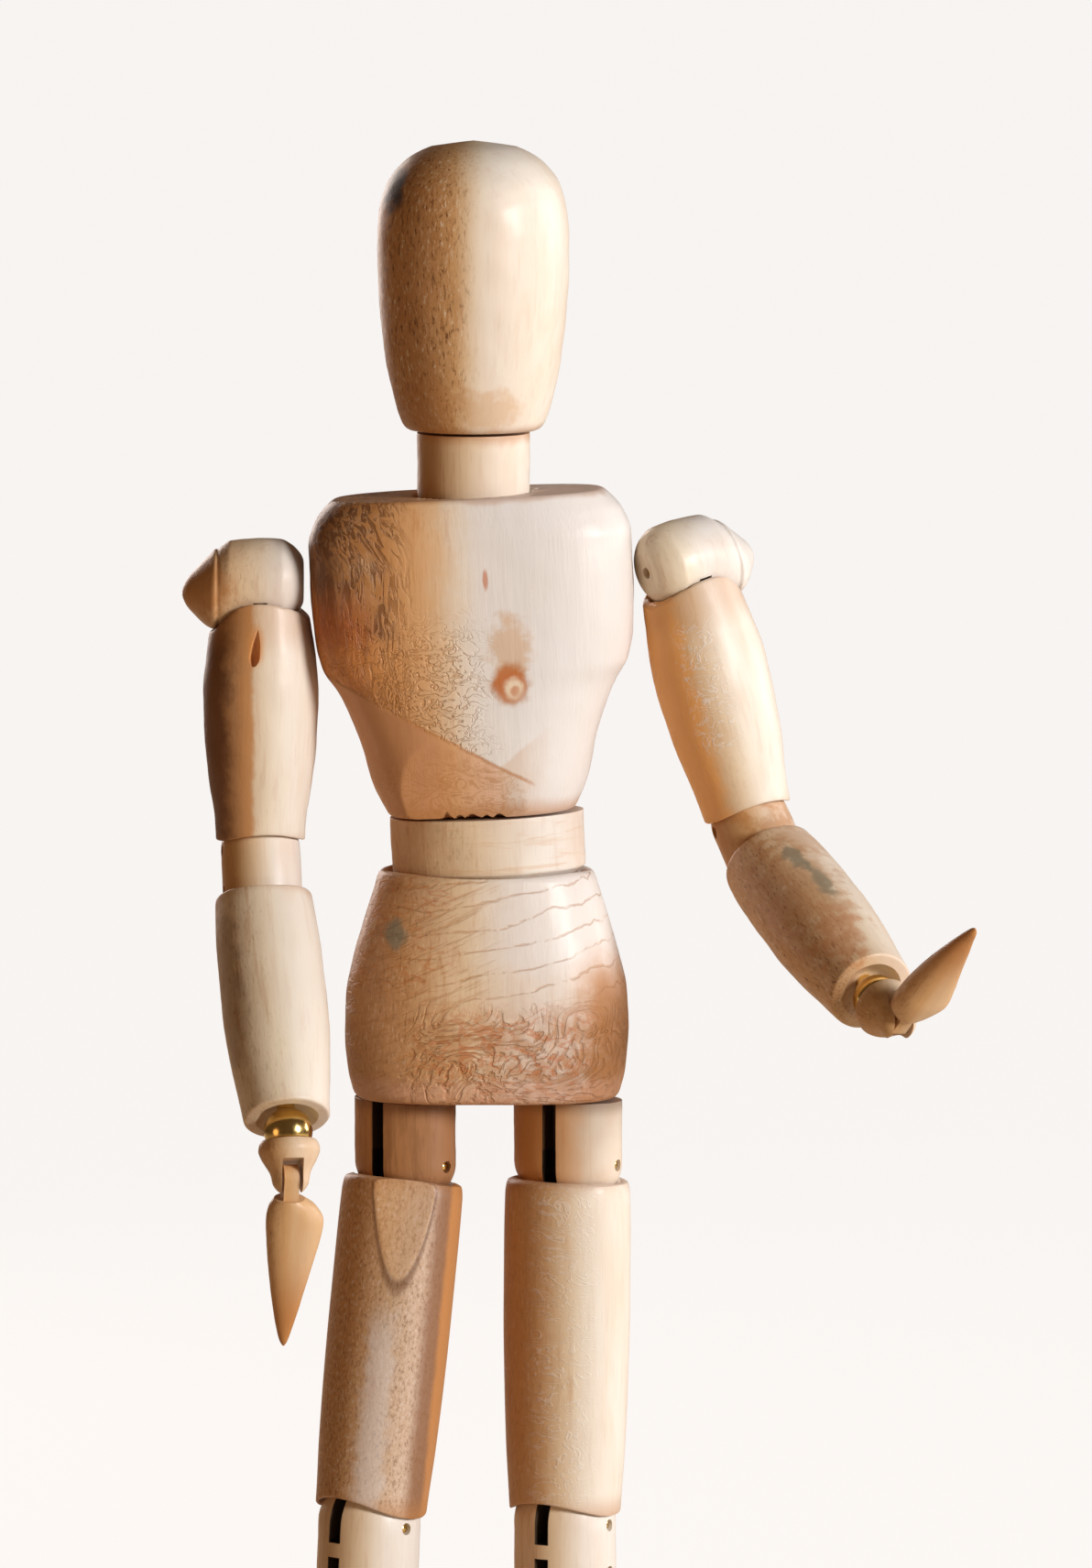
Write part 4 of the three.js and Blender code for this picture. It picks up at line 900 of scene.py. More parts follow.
def chest_wood():
    w = Wood("chest_wood", "chest")
    w.tones(tone=0.15, left=0.75, width=9, pale=1.0)
    # painted light: the chest pales towards its left-hand side, towards the key lamp
    w.tint(w.times(w.region([("x", -4.0, 2.0)], 1.5), 0.75), PALE)
    meeting = (FACET_MEETING, FACET_POINT - CHEST_HEIGHT / 2)
    right_slope = -math.tan(math.radians(FACETS["right"]["spread"]))
    left_slope = math.tan(math.radians(FACETS["left"]["spread"]))
    lower_right, above = w.below_line(meeting, right_slope, soft=0.3, ragged=0.5)
    lower_left, _ = w.below_line(meeting, left_slope, soft=0.25, ragged=0.4)
    front = w.ramp(w.parts["y"], 1.5, -1.5)
    lower_right = w.times(lower_right, front)
    lower_left = w.times(lower_left, front)
    upper = w.math("SUBTRACT", 1.0, lower_right)

    # the dense burr at the upper right, on honey-brown that is partly painted shade away from the key lamp: upright
    # fibres, leaning near the corner
    burr = w.times(w.region([("x", -5.5, -9.0)], 1.5), upper)
    w.tint(w.times(burr, w.ramp(w.cloud, 0.25, 0.6), 0.85), HONEY)
    leaning = w.math("MULTIPLY_ADD", w.parts["z"], 0.55, w.parts["x"])
    lean_vector = w.node("CombineXYZ", {0: leaning, 1: w.parts["y"], 2: w.parts["z"]}).outputs[0]
    corner = w.region([("z", 8.0, 11.0)], 1.0)
    for vector, share in ((w.vector, w.math("SUBTRACT", 1.0, corner)), (lean_vector, corner)):
        narrow = w.stretched(vector, (1.0, 1.0, 0.22))
        fibres = w.ramp(w.noise(narrow, 1.5, 4.0, 0.62, 0.9), 0.47, 0.56)
        w.tint(w.times(burr, fibres, share, 0.75), UMBER)
        w.raise_by(w.times(burr, fibres, share), -1.3)
    # painted shade: dark umber on the upper right-hand side face, away from the key lamp
    w.tint(w.times(w.region([("x", -12.0, -15.0), ("z", 5.0, 9.0)], 1.5), 0.5), UMBER)

    # burl bumps across the middle
    bumps = w.times(w.region([("x", 2.5, -3.0), ("z", 6.0, -1.0)], 2.5), upper)
    pits = w.contours(w.stretched(w.vector, (0.8, 1.0, 1.25)), 0.75, 5.0, 0.25, 1.0, 3.0)
    w.tint(w.times(bumps, pits, 0.4), HONEY)
    w.raise_by(w.times(bumps, pits), -1.0)

    # rust-coloured painted shade down the right edge, away from the key lamp, and the smooth brown facet below it,
    # browned partly by painted shade, as it faces away from the lamp, and partly by its wavy figure
    w.tint(w.times(w.region([("x", -8.5, -12.5), ("z", 9.0, 3.0)], 2.5), 0.85), RUST)
    w.tint(w.times(w.region([("x", -1.0, -6.0)], 2.0), w.region([("x", -10.0, -6.0)], 1.0), upper, 0.35), ORANGE)
    w.tint(w.times(w.region([("x", -5.5, -9.0), ("z", 4.0, 0.0)], 2.0), upper, 0.5), ORANGE)
    w.tint(w.times(lower_right, w.region([("x", 4.0, 1.0)], 1.0), 0.6), ORANGE)
    w.tint(w.times(lower_right, w.region([("x", -2.0, -6.0)], 1.5), 0.6), ROSE)
    w.tint(w.times(lower_right, w.region([("x", 1.0, -8.0)], 2.0), 0.55), HONEY)
    wavy = w.contours(w.stretched(w.vector, (0.5, 1.0, 1.0)), 0.5, 8.0, 0.3, 1.8, 4.0)
    w.tint(w.times(lower_right, wavy, w.region([("x", 6.0, 2.0), ("z", -8.0, -12.0)], 1.0), 0.5), HONEY)
    beyond = w.times(lower_left, w.region([("x", 1.6, 2.2)], 0.2))
    w.tint(w.times(beyond, w.region([("x", 8.0, 3.0)], 1.5), 0.35), TAN)

    # painted shade along the creases of the two facets
    crease = w.times(w.ramp(w.math("ABSOLUTE", above), 0.35, 0.02), front)
    w.tint(w.times(crease, w.region([("x", 6.0, 4.0)], 1.0), 0.7), HONEY)

    # the knot with its halo, and a small crack
    knot = (3.4, -2.5)
    w.spots([
        ((3.5, 1.0), (2.6, 4.2), TAN, 0.6, 0.7),
        (knot, (2.4, 2.5), HONEY, 0.8, 0.5),
        (knot, (2.0, 2.1), RUST, 0.75, 0.35),
        ((3.7, -2.9), (1.2, 1.3), CREAM, 0.85, 0.5),
        ((3.8, -3.2), (0.6, 0.7), RUST, 0.6, 0.5),
        ((1.4, 7.9), (0.35, 1.4), RUST, 0.7, 0.3),
    ])
    w.darken_ends([[-13.9, -15.6, 0.6], [15.2, 15.8, 0.4]])
    return w.finish(0.6)


def pelvis_wood():
    w = Wood("pelvis_wood", "pelvis")
    w.tones(tone=0.35, left=0.7, width=12, pale=0.9)
    x = w.parts["x"]
    lift = w.math("MULTIPLY_ADD", w.times(x, x), 0.007, w.math("MULTIPLY", x, 0.16))
    along = w.node("CombineXYZ", {0: x, 1: w.parts["y"], 2: w.math("SUBTRACT", w.parts["z"], lift)})

    # a few faint grain lines rise across the upper half
    upper = w.region([("z", 9.0, 12.0)], 1.0)
    broken = w.ramp(w.cloud, 0.35, 0.55)
    saw = w.math("FRACT", w.math("MULTIPLY", w.math("ADD", w.math("SUBTRACT", w.parts["z"], lift), w.centred(w.noise(w.stretched(w.vector, (0.25, 1.0, 0.6)), 0.5, 3.0), 2.4)), 0.42))
    lines = w.ramp(w.math("ABSOLUTE", w.math("SUBTRACT", saw, 0.5)), 0.07, 0.01)
    # a painted highlight: the upper part pales towards its left-hand side, towards the key lamp
    w.tint(w.times(w.region([("x", -3.0, 4.0), ("z", 12.0, 15.0)], 1.5), 0.6), PALE)
    w.tint(w.times(upper, lines, broken, 0.42), HONEY)
    w.raise_by(w.times(upper, lines, broken), -0.5)
    hatch = w.math("MULTIPLY_ADD", w.parts["x"], -0.45, w.parts["z"])
    hatch = w.node("CombineXYZ", {0: w.parts["x"], 1: w.parts["y"], 2: hatch}).outputs[0]
    hatch = w.ramp(w.noise(w.stretched(hatch, (0.12, 0.3, 1.0)), 2.2, 4.0, 0.6), 0.5, 0.66)
    w.tint(w.times(hatch, w.region([("x", 3.0, -3.0)], 2.0), 0.4), HONEY)
    w.raise_by(w.times(hatch, w.region([("x", 3.0, -3.0)], 2.0)), -0.4)
    short = w.contours(w.stretched(along.outputs[0], (0.35, 0.35, 1.1)), 0.5, 5.0, 0.14, 1.0, 3.0)
    w.tint(w.times(upper, short, w.region([("x", -2.0, -6.0)], 1.5), 0.5), RUST)

    # wavy figure low down
    low = w.times(w.region([("z", 11.5, 7.0)], 1.5), w.region([("x", -9.5, -5.0)], 1.5))
    w.tint(w.times(low, w.ramp(w.cloud, 0.3, 0.6), 0.6), HONEY)
    w.tint(w.times(low, w.ramp(w.cloud, 0.45, 0.3), 0.35), ORANGE)
    wavy = w.contours(w.stretched(w.vector, (0.6, 1.0, 1.0)), 0.2, 5.5, 0.3, 2.6, 6.0)
    w.tint(w.times(low, wavy, 0.5), HONEY)
    w.tint(w.times(low, w.contours(w.stretched(w.vector, (0.6, 1.0, 1.0)), 0.3, 3.0, 0.14, 2.2, 5.0), 0.5), RUST)
    w.raise_by(w.times(low, wavy), -1.2)

    # painted shade: a brown right side away from the key lamp, flecked with the wood's figure, and a browner left
    # edge low down, where the wood curves under
    w.tint(w.times(w.region([("x", -3.0, -10.5)], 2.0), 0.6), HONEY)
    w.tint(w.times(w.region([("x", 7.5, 11.5), ("z", 17.0, 11.0)], 2.0), 0.85), HONEY)
    w.flecks(0.4, w.region([("x", -3.0, -8.0)], 2.0))
    w.tint(w.times(w.region([("z", 3.2, 1.5)], 0.6), 0.5), ROSE)
    w.spots([((-9.0, 17.0), (1.4, 1.8), GREENISH, 0.7, 0.5)])
    w.darken_ends([[22.6, 23.6, 0.5], [0.9, 0.0, 0.4]])
    return w.finish(0.6)


def facet_planes():
    """Each planed facet of the chest as a point and a direction that faces out of the wood."""
    planes = []
    for side in SIDES:
        direction = outward(side)
        spread = turned_by(-direction * FACETS[side]["spread"], "Y")
        rotation = spread @ turned_by(FACETS[side]["tilt"], "X")
        normal = rotation.to_3x3() @ Vector((0, -1, 0))
        place = Vector((FACET_MEETING, -0.97 * CHEST_HALF_DEPTH, FACET_POINT - CHEST_HEIGHT / 2))
        planes.append((place, normal))
    return planes


def plane_off(points, planes):
    """Pushes the front back to the planes, with a rounded ridge where two of them meet."""
    pushes = []
    for place, normal in planes:
        ahead = (points - np.array(place)) @ np.array(normal)
        pushes.append(-ahead / normal.y)
    push = pushes[0]
    for other in pushes[1:]:
        push = np.logaddexp(push / FACET_BLEND, other / FACET_BLEND) * FACET_BLEND
        push = push - math.log(2) * FACET_BLEND
    moved = points.copy()
    moved[:, 1] += np.maximum(push, 0)
    return moved


CHIPS = [(-3.4, 0.55, 1.0), (-2.1, 0.45, 0.7), (-0.9, 0.7, 0.9), (0.5, 0.4, 0.6), (1.7, 0.6, 0.8)]


def chest_bottom(x, y):
    """The chest's lower end, chipped along its front edge."""
    height = np.full_like(x, -CHEST_HEIGHT / 2)
    for place, size, depth in CHIPS:
        distance = ((x - place) / size) ** 2 + ((y + 0.8 * CHEST_HALF_DEPTH) / 1.3) ** 2
        height = height + 0.7 * depth * np.maximum(0, 1 - distance)
    return height


def add_chest():
    half = CHEST_HEIGHT / 2
    width = CHEST_HALF_WIDTH
    depth = CHEST_HALF_DEPTH
    rings = [
        [-half, 0.575 * width, 0.85 * depth, 2.5, -0.07 * depth],
        [-0.8 * half, 0.665 * width, 0.91 * depth, 2.6, -0.05 * depth],
        [-0.56 * half, 0.725 * width, 0.95 * depth, 2.7, -0.03 * depth],
        [-0.34 * half, 0.8 * width, 0.97 * depth, 2.8, -0.02 * depth],
        [-0.2 * half, 0.865 * width, 0.985 * depth, 2.9],
        [-0.06 * half, 0.95 * width, depth, 3],
        [0.12 * half, 0.985 * width, depth, 3],
        [0.45 * half, width, depth, 3],
        [0.72 * half, width, 0.98 * depth, 3],
        [0.87 * half, 0.95 * width, 0.94 * depth, 2.8],
        [half, 0.84 * width, 0.88 * depth, 2.6],
    ]
    seat = NECK_RADIUS + GAP

    def top(x, y):
        dish = np.sqrt(np.maximum(seat**2 - (x - NECK_SHIFT) ** 2 - y**2, 0))
        return np.where(dish > NECK_SEAT_DROP, half + NECK_SEAT_DROP - dish, half)

    planes = facet_planes()
    shape = form(
        rings,
        chest_bottom,
        top,
        steps=240,
        rows=120,
        edge=0.5,
        trim=lambda points: plane_off(points, planes),
    )
    material = chest_wood()
    add("chest", shape, "chest", material, "chest")


def add_waist():
    drop = math.sqrt(WAIST_HEEL_RADIUS**2 - WAIST_HALF_DEPTH**2)
    wide = WAIST_HALF_WIDTH / WAIST_HALF_DEPTH
    top = WAIST_HEIGHT - drop
    heel_end = math.degrees(math.asin(WAIST_HALF_DEPTH / WAIST_HEEL_RADIUS))
    heel = arc(WAIST_HEEL_RADIUS, 0, 2, heel_end, 12)
    rings = [[z, r * wide, r] for z, r in heel]
    rings.append([top, WAIST_HALF_WIDTH, WAIST_HALF_DEPTH])
    shape = form(rings, level(heel[0][0]), level(top), steps=TORSO_ROUND, rows=60, edge=0.05)
    w = wood("waist_wood", "waist", tone=0.3, left=0.6, width=9, burr=0.3, pale=0.8)
    across = w.noise(w.stretched(w.vector, (0.12, 0.12, 1.0)), 1.6, 5.0, 0.6, 0.4)
    w.tint(w.times(w.ramp(across, 0.5, 0.68), 0.35), TAN)
    # painted shade: browner on the right-hand side, away from the key lamp
    w.tint(w.times(w.region([("x", -5.0, -9.0)], 1.5), 0.4), HONEY)
    w.spots([((11.0, 2.2), (3.0, 0.7), UMBER, 0.6, 0.5)])
    material = w.finish()
    add("waist", shape, "waist", material, "waist")


def add_pelvis():
    height = PELVIS_HEIGHT
    width = PELVIS_HALF_WIDTH
    depth = PELVIS_HALF_DEPTH
    rings = [
        [0, 0.93 * width, 0.9 * depth, 2.8],
        [0.13 * height, 0.98 * width, 0.96 * depth, 2.7],
        [0.3 * height, width, depth, 2.6],
        [0.46 * height, 0.99 * width, depth, 2.5],
        [0.62 * height, 0.935 * width, 0.97 * depth, 2.5],
        [0.76 * height, 0.87 * width, 0.92 * depth, 2.4],
        [0.9 * height, 0.8 * width, 0.87 * depth, 2.3],
        [height, 0.75 * width, 0.845 * depth, 2.2],
    ]
    drop = math.sqrt(WAIST_HEEL_RADIUS**2 - WAIST_HALF_DEPTH**2)
    seat = WAIST_HEEL_RADIUS + GAP
    wide = (WAIST_HEEL_RADIUS * WAIST_HALF_WIDTH / WAIST_HALF_DEPTH + GAP) / seat

    def top(x, y):
        dish = np.sqrt(np.maximum(seat**2 - (x / wide) ** 2 - y**2, 0))
        return np.minimum(height, height + drop - dish)

    shape = form(rings, level(0), top, steps=TORSO_ROUND, rows=80, edge=0.9)
    material = pelvis_wood()
    add("pelvis", shape, "pelvis", material, "stand_and_pelvis")


# Each ring is [distance along the piece, share of its radius, share of its droop].
SHOULDER_PROFILE = np.array([
    [-SHOULDER_INNER, 0.5, 0],
    [-0.95 * SHOULDER_INNER, 0.6, 0],
    [-0.86 * SHOULDER_INNER, 0.72, 0],
    [-0.72 * SHOULDER_INNER, 0.85, 0],
    [-0.47 * SHOULDER_INNER, 0.97, 0],
    [0, 1, 0],
    [0.38 * SHOULDER_NOSE, 0.98, 0.15],
    [0.5 * SHOULDER_NOSE, 0.93, 0.45],
    [0.55 * SHOULDER_NOSE, 0.89, 0.6],
    [0.575 * SHOULDER_NOSE, 0.915, 0.65],
    [0.68 * SHOULDER_NOSE, 0.8, 0.9],
    [0.84 * SHOULDER_NOSE, 0.52, 1],
    [0.95 * SHOULDER_NOSE, 0.29, 1],
    [SHOULDER_NOSE, 0.1, 1],
])


def shoulder_share(along, column):
    return smooth_between(SHOULDER_PROFILE[:, 0], SHOULDER_PROFILE[:, column], along)


def shoulder_room(along):
    """The radius round the shoulder's axis that the piece needs when an arm swings on it."""
    droop = SHOULDER_DROOP * shoulder_share(along, 2)
    return SHOULDER_RADIUS * shoulder_share(along, 1) + droop + GAP


def add_shoulder(side):
    direction = outward(side)
    places = np.linspace(-SHOULDER_INNER, SHOULDER_NOSE, 90)
    rings = []
    for place in places:
        radius = SHOULDER_RADIUS * float(shoulder_share(place, 1))
        droop = SHOULDER_DROOP * float(shoulder_share(place, 2))
        rings.append([place, radius, radius, 2, 0, direction * droop])
    points, faces = form(rings, level(places[0]), level(places[-1]), rows=110, edge=0.2)
    lengthwise = Matrix.Rotation(direction * math.pi / 2, 3, "Y")
    points = points @ np.array(lengthwise).T
    slot_height = 2 * SHOULDER_RADIUS
    slot_depth = TONGUE_EYE_RADIUS + GAP
    cutters = [
        box_object(
            (TONGUE_THICKNESS + 2 * GAP, 2 * (SHOULDER_RADIUS - 0.4), slot_height),
            (0, 0, slot_depth - slot_height / 2),
        ),
        rod_object(
            PIN_RADIUS + PIN_PLAY,
            (-direction * (SHOULDER_INNER + 1), 0, 0),
            (direction * (SHOULDER_PIN_REACH + GAP), 0, 0),
        ),
    ]
    name = side + "_shoulder"
    # the right shoulder's honey spot is painted shade on its outer end, away from the key lamp; brown sets each
    # shoulder's tone, flecks and painted shade
    spots = {
        "right": [((-5.6, -0.6), (3.4, 3.4), HONEY, 0.75, 0.5)],
        "left": [((1.5, -3.4), (3.0, 1.6), HONEY, 0.3, 0.9)],
    }[side]
    brown = {"right": 0.7, "left": 0.1}[side]
    material = wood(
        name + "_wood",
        side + "_arm",
        tone=0.3 * brown,
        left=brown,
        width=6,
        burr=0.5 * brown,
        spots=spots,
        pale=0.9,
    ).finish()
    add(name, (points, faces), side + "_arm", material, name, cutters)
    pin(name + "_pin", side + "_arm", name, [PIN_INSET - SHOULDER_INNER, SHOULDER_PIN_REACH], 0, direction)


def pin(node, joint, body, span, height=0, direction=1):
    """A short brass pin with slightly domed ends, lying across the piece."""
    start, end = span
    dome = 0.12
    outline = [
        [start, 0],
        [start + 0.3 * dome, 0.6 * PIN_RADIUS],
        [start + dome, 0.93 * PIN_RADIUS],
        [start + 1.5 * dome, PIN_RADIUS],
        [end - 1.5 * dome, PIN_RADIUS],
        [end - dome, 0.93 * PIN_RADIUS],
        [end - 0.3 * dome, 0.6 * PIN_RADIUS],
        [end, 0],
    ]
    points, faces = revolved(outline, 24)
    turn = Matrix.Rotation(direction * math.pi / 2, 3, "Y")
    points = points @ np.array(turn).T + np.array([0, 0, height])
    add(node, (points, faces), joint, BRASS, body)


def gouge():
    """A drop-shaped cutter, pointed at the top."""
    half = GOUGE_WIDTH / 2
    profile = [[-0.5, 0.02], [-0.44, 0.6], [-0.26, 1], [0, 0.84], [0.26, 0.42], [0.5, 0.02]]
    rings = [[up * GOUGE_LENGTH, share * half, share * GOUGE_DEPTH] for up, share in profile]
    low = level(rings[0][0])
    high = level(rings[-1][0])
    points, faces = form(rings, low, high, steps=36, rows=30, edge=0.005, wobble=0)
    points = points @ np.array(turned_by(GOUGE_LEAN, "Y").to_3x3()).T
    points = points + np.array([GOUGE_SHIFT, -0.9 * UPPER_ARM_RADIUS, -GOUGE_DROP])
    return make_object("cutter", points, faces)


def add_upper_arm(side):
    width = UPPER_ARM_RADIUS
    end = UPPER_ARM_LENGTH - SIDE_LIP
    end_radius = ELBOW_RADIUS + LIMB_OVERHANG
    rings = [
        [-end, end_radius],
        [-0.9 * end, 0.8 * width],
        [-0.77 * end, 0.89 * width],
        [-0.62 * end, 0.96 * width],
        [-0.42 * end, width],
        [-0.29 * end, 0.945 * width],
        [-0.19 * end, 0.88 * width],
        [-UPPER_ARM_LIP, 0.8 * width],
    ]
    direction = outward(side)

    def top(x, y):
        along = direction * x
        radius = shoulder_room(along)
        inside = (along > -SHOULDER_INNER - GAP) & (along < SHOULDER_NOSE + GAP) & (np.abs(y) < radius)
        seat = -np.sqrt(np.maximum(radius**2 - y**2, 0))
        dome = np.sqrt(ARM_DOME_RADIUS**2 - x**2) - ARM_DOME_RADIUS - UPPER_ARM_LIP
        return np.where(inside, np.minimum(dome, seat), dome)

    cup = cup_surface(ELBOW_RADIUS, end_radius, turn=ARM_POSE[side]["elbow_turn"])
    shape = form(rings, cup_above(-UPPER_ARM_LENGTH, cup), top, steps=120)
    cutters = [gouge()] if side == "right" else []
    name = side + "_upper_arm"
    w = wood(name + "_wood", side + "_arm", tone=0.2, left=0.6, width=5, burr=0.25)
    if side == "right":
        # painted shade: a brown band down the right-hand side, away from the key lamp, with a sharp boundary and
        # umber at its far edge
        band = w.region([("x", -0.3, -1.0)], 0.5)
        w.tint(w.times(band, 0.75), HONEY)
        w.tint(w.times(w.region([("x", -2.0, -4.0)], 1.5), 0.85), UMBER)
        w.tint(w.times(band, w.region([("x", -2.6, -1.2)], 0.6), 0.35), ORANGE)
        w.spots([((GOUGE_SHIFT, -GOUGE_DROP), (1.1, 2.6), ORANGE, 0.7, 0.2)])
    else:
        # painted shade: tan, then strong orange, down the right-hand side, away from the key lamp
        w.tint(w.times(w.region([("x", 2.0, -2.0)], 1.2), 0.45), TAN)
        w.tint(w.times(w.region([("x", -0.8, -2.8)], 1.0), 0.9), (0.86, 0.40, 0.12, 1))
        w.ripples(0.45, w.region([("x", -3.5, -2.0), ("x", 2.0, 0.5), ("z", -4.5, -6.5), ("z", -20.0, -17.0)], 1.0))
    w.darken_ends([(-24.5, -27.0, 0.55), (-7.5, -4.2, 0.3)])
    material = w.finish()
    add(name, shape, side + "_arm", material, name, cutters)


def link_shape(radius, spacing):
    outline = [
        *arc(radius, -spacing, 0, 90, 14),
        *[[-spacing + spacing * k / 6, radius] for k in range(1, 6)],
        *arc(radius, 0, 90, 180, 14),
    ]
    points, faces = revolved(outline)
    return uneven(points, WOBBLE), faces


def link_cutters(radius, spacing, reach):
    width = TONGUE_THICKNESS + 2 * GAP
    depth = TONGUE_EYE_RADIUS + GAP
    height = depth + radius + 1
    middle = height / 2 - depth
    hole = radius + 1
    return [
        box_object((width, 2 * reach, height), (0, 0, middle)),
        box_object((width, 2 * reach, height), (0, 0, -spacing - middle)),
        rod_object(PIN_RADIUS + PIN_PLAY, (-hole, 0, 0), (hole, 0, 0)),
        rod_object(PIN_RADIUS + PIN_PLAY, (-hole, 0, -spacing), (hole, 0, -spacing)),
    ]


def add_link(side, name, joint, radius, spacing, reach, left):
    """A knee's or elbow's block with its two pins."""
    node = f"{side}_{name}_block"
    body = f"{side}_{name}"
    brown = node == "left_elbow_block"
    w = wood(node + "_wood", joint, tone=0.9 if brown else 0.2, left=left, width=4, grain=0.8, pale=0.8)
    if brown:
        w.tint(w.times(w.ramp(w.cloud, 0.35, 0.6), 0.6), HONEY)
    if name == "knee":
        w.shade_slot(-TONGUE_EYE_RADIUS - GAP - 0.05)
        w.shade_slot(high=-spacing + TONGUE_EYE_RADIUS + GAP + 0.05)
    material = w.finish()
    shape = link_shape(radius, spacing)
    add(node, shape, joint, material, body, link_cutters(radius, spacing, reach))
    reach_out = radius - PIN_INSET
    pin(f"{side}_{name}_upper_pin", joint, body, [-reach_out, reach_out])
    pin(f"{side}_{name}_lower_pin", joint, body, [-reach_out, reach_out], -spacing)


def add_forearm(side):
    width = FOREARM_RADIUS
    end = FOREARM_LENGTH - WRIST_MOUTH_RISE
    end_radius = ELBOW_RADIUS + FOREARM_OVERHANG
    rings = [
        [-end, 0.81 * width],
        [-0.9 * end, 0.86 * width],
        [-0.74 * end, 0.94 * width],
        [-0.52 * end, width],
        [-0.3 * end, 0.99 * width],
        [-0.14 * end, 0.955 * width],
        [-SIDE_LIP, end_radius],
    ]
    mouth = dent(-end, WRIST_MOUTH_RADIUS, -FOREARM_LENGTH, True)
    shape = form(rings, mouth, cup_below(0, cup_surface(ELBOW_RADIUS, end_radius)))
    name = side + "_forearm"
    # the right forearm's umber streak is painted shade down its right-hand edge, away from the key lamp
    spots = {
        "right": [((-5.0, -12.0), (2.8, 14.0), UMBER, 0.4, 0.5)],
        "left": [
            ((-2.0, -13.0), (5.0, 12.0), HONEY, 0.45, 1.2),
            ((1.0, -5.0), (4.0, 3.5), HONEY, 0.35, 1.2),
            ((-0.6, -8.0), (1.1, 3.4), GREENISH, 0.65, 0.8),
            ((0.2, -13.5), (1.1, 3.6), GREENISH, 0.6, 0.8),
            ((-1.5, -21.0), (3.0, 5.0), RUST, 0.3, 0.9),
        ],
    }[side]
    material = wood(
        name + "_wood",
        side + "_forearm",
        tone=0.0 if side == "right" else 0.55,
        left=0.3 if side == "right" else 0.6,
        width=5,
        burr=0.35 if side == "right" else 0.8,
        ends=[(-24.6, -27.0, 0.45), (-2.8, -1.0, 0.45)],
        spots=spots,
    ).finish()
    add(name, shape, side + "_forearm", material, name)


def add_wrist(side):
    ball_points = revolved(arc(WRIST_BALL_RADIUS, 0, 0, 180, 24), 48)
    node = side + "_wrist_ball"
    obj_points, faces = ball_points
    stem_points, stem_faces = revolved(
        [[0, 0], [0, WRIST_STEM_RADIUS], [WRIST_STEM_LENGTH, WRIST_STEM_RADIUS], [WRIST_STEM_LENGTH, 0]], 24
    )
    offset = len(obj_points)
    stem_faces = [tuple(index + offset for index in face) for face in stem_faces]
    points = np.concatenate([obj_points, stem_points]) + np.array([0, 0, -FOREARM_LENGTH])
    add(node, (points, faces + stem_faces), side + "_forearm", BRASS, side + "_forearm")
    rings = [
        *arc(KNUCKLE_RADIUS, -WRIST_SPACING, 6, 70, 8),
        [-WRIST_SPACING + 0.2, KNUCKLE_RADIUS + 0.05],
        [-2.6, 0.91 * WRIST_RADIUS],
        [-1.9, 0.98 * WRIST_RADIUS],
        [-1.25, 0.94 * WRIST_RADIUS],
        [-0.95, 0.87 * WRIST_RADIUS],
    ]
    socket = dent(-0.9, WRIST_BALL_RADIUS + GAP, 0, False)
    shape = form(rings, level(rings[0][0]), socket, rows=40, edge=0.1, wobble=0.02)
    slot_top = WRIST_SPACING - HAND_ROOT_RADIUS - GAP
    slot_height = KNUCKLE_RADIUS + HAND_ROOT_RADIUS + 2
    cutters = [
        box_object(
            (HAND_ROOT_THICKNESS + 2 * GAP, 4 * WRIST_RADIUS, slot_height),
            (0, 0, -slot_top - slot_height / 2),
        ),
    ]
    name = side + "_wrist"
    material = wood(name + "_wood", name, tone=0.9, left=0.8, width=3, burr=0.4, pale=0.4).finish()
    add(name, shape, name, material, name, cutters)


def add_hand(side):
    width = HAND_HALF_WIDTH
    thick = HAND_HALF_THICKNESS
    start = KNUCKLE_RADIUS + GAP
    blade = HAND_LENGTH - start
    rings = [
        [-HAND_LENGTH, 0.03 * width, 0.08 * thick, 2, 0.12 * thick],
        [-start - 0.97 * blade, 0.13 * width, 0.24 * thick, 2, 0.12 * thick],
        [-start - 0.88 * blade, 0.27 * width, 0.36 * thick, 2, 0.06 * thick],
        [-start - 0.7 * blade, 0.48 * width, 0.55 * thick, 2.2, 0, 0.2 * HAND_SWELL],
        [-start - 0.5 * blade, 0.69 * width, 0.75 * thick, 2.3, -0.06 * thick, 0.5 * HAND_SWELL],
        [-start - 0.3 * blade, 0.88 * width, 0.92 * thick, 2.3, -0.06 * thick, HAND_SWELL],
        [-start - 0.15 * blade, 0.97 * width, thick, 2.2, 0, 1.2 * HAND_SWELL],
        [-start - 0.05 * blade, 0.79 * width, 0.97 * thick, 2, 0, 0.6 * HAND_SWELL],
        [-start, 0.52 * width, 0.9 * thick],
    ]
    leaf = form(rings, level(-HAND_LENGTH), level(-start), rows=60, edge=0.05, wobble=0.02)
    root_half = HAND_ROOT_THICKNESS / 2
    outline = []
    for a in np.linspace(0, math.pi, 19):
        outline.append((HAND_ROOT_RADIUS * math.cos(a), HAND_ROOT_RADIUS * math.sin(a)))
    low = -(start + 0.6)
    outline += [(-0.8 * HAND_ROOT_RADIUS, low), (0.8 * HAND_ROOT_RADIUS, low)]
    count = len(outline)
    root_points = [(x, y, z) for x in (-root_half, root_half) for y, z in outline]
    root_faces = [tuple(reversed(range(count))), tuple(range(count, 2 * count))]
    for i in range(count):
        j = (i + 1) % count
        root_faces.append((i, j, j + count, i + count))
    leaf_points, leaf_faces = leaf
    offset = len(leaf_points)
    faces = leaf_faces + [tuple(index + offset for index in face) for face in root_faces]
    points = np.concatenate([leaf_points, np.array(root_points)])
    name = side + "_hand"
    material = wood(
        name + "_wood", name, tone=1.5, left=1.0, width=3, burr=0.4, ends=[(-6.0, -15.5, 0.95)], pale=0.15
    ).finish()
    add(name, (points, faces), name, material, name)


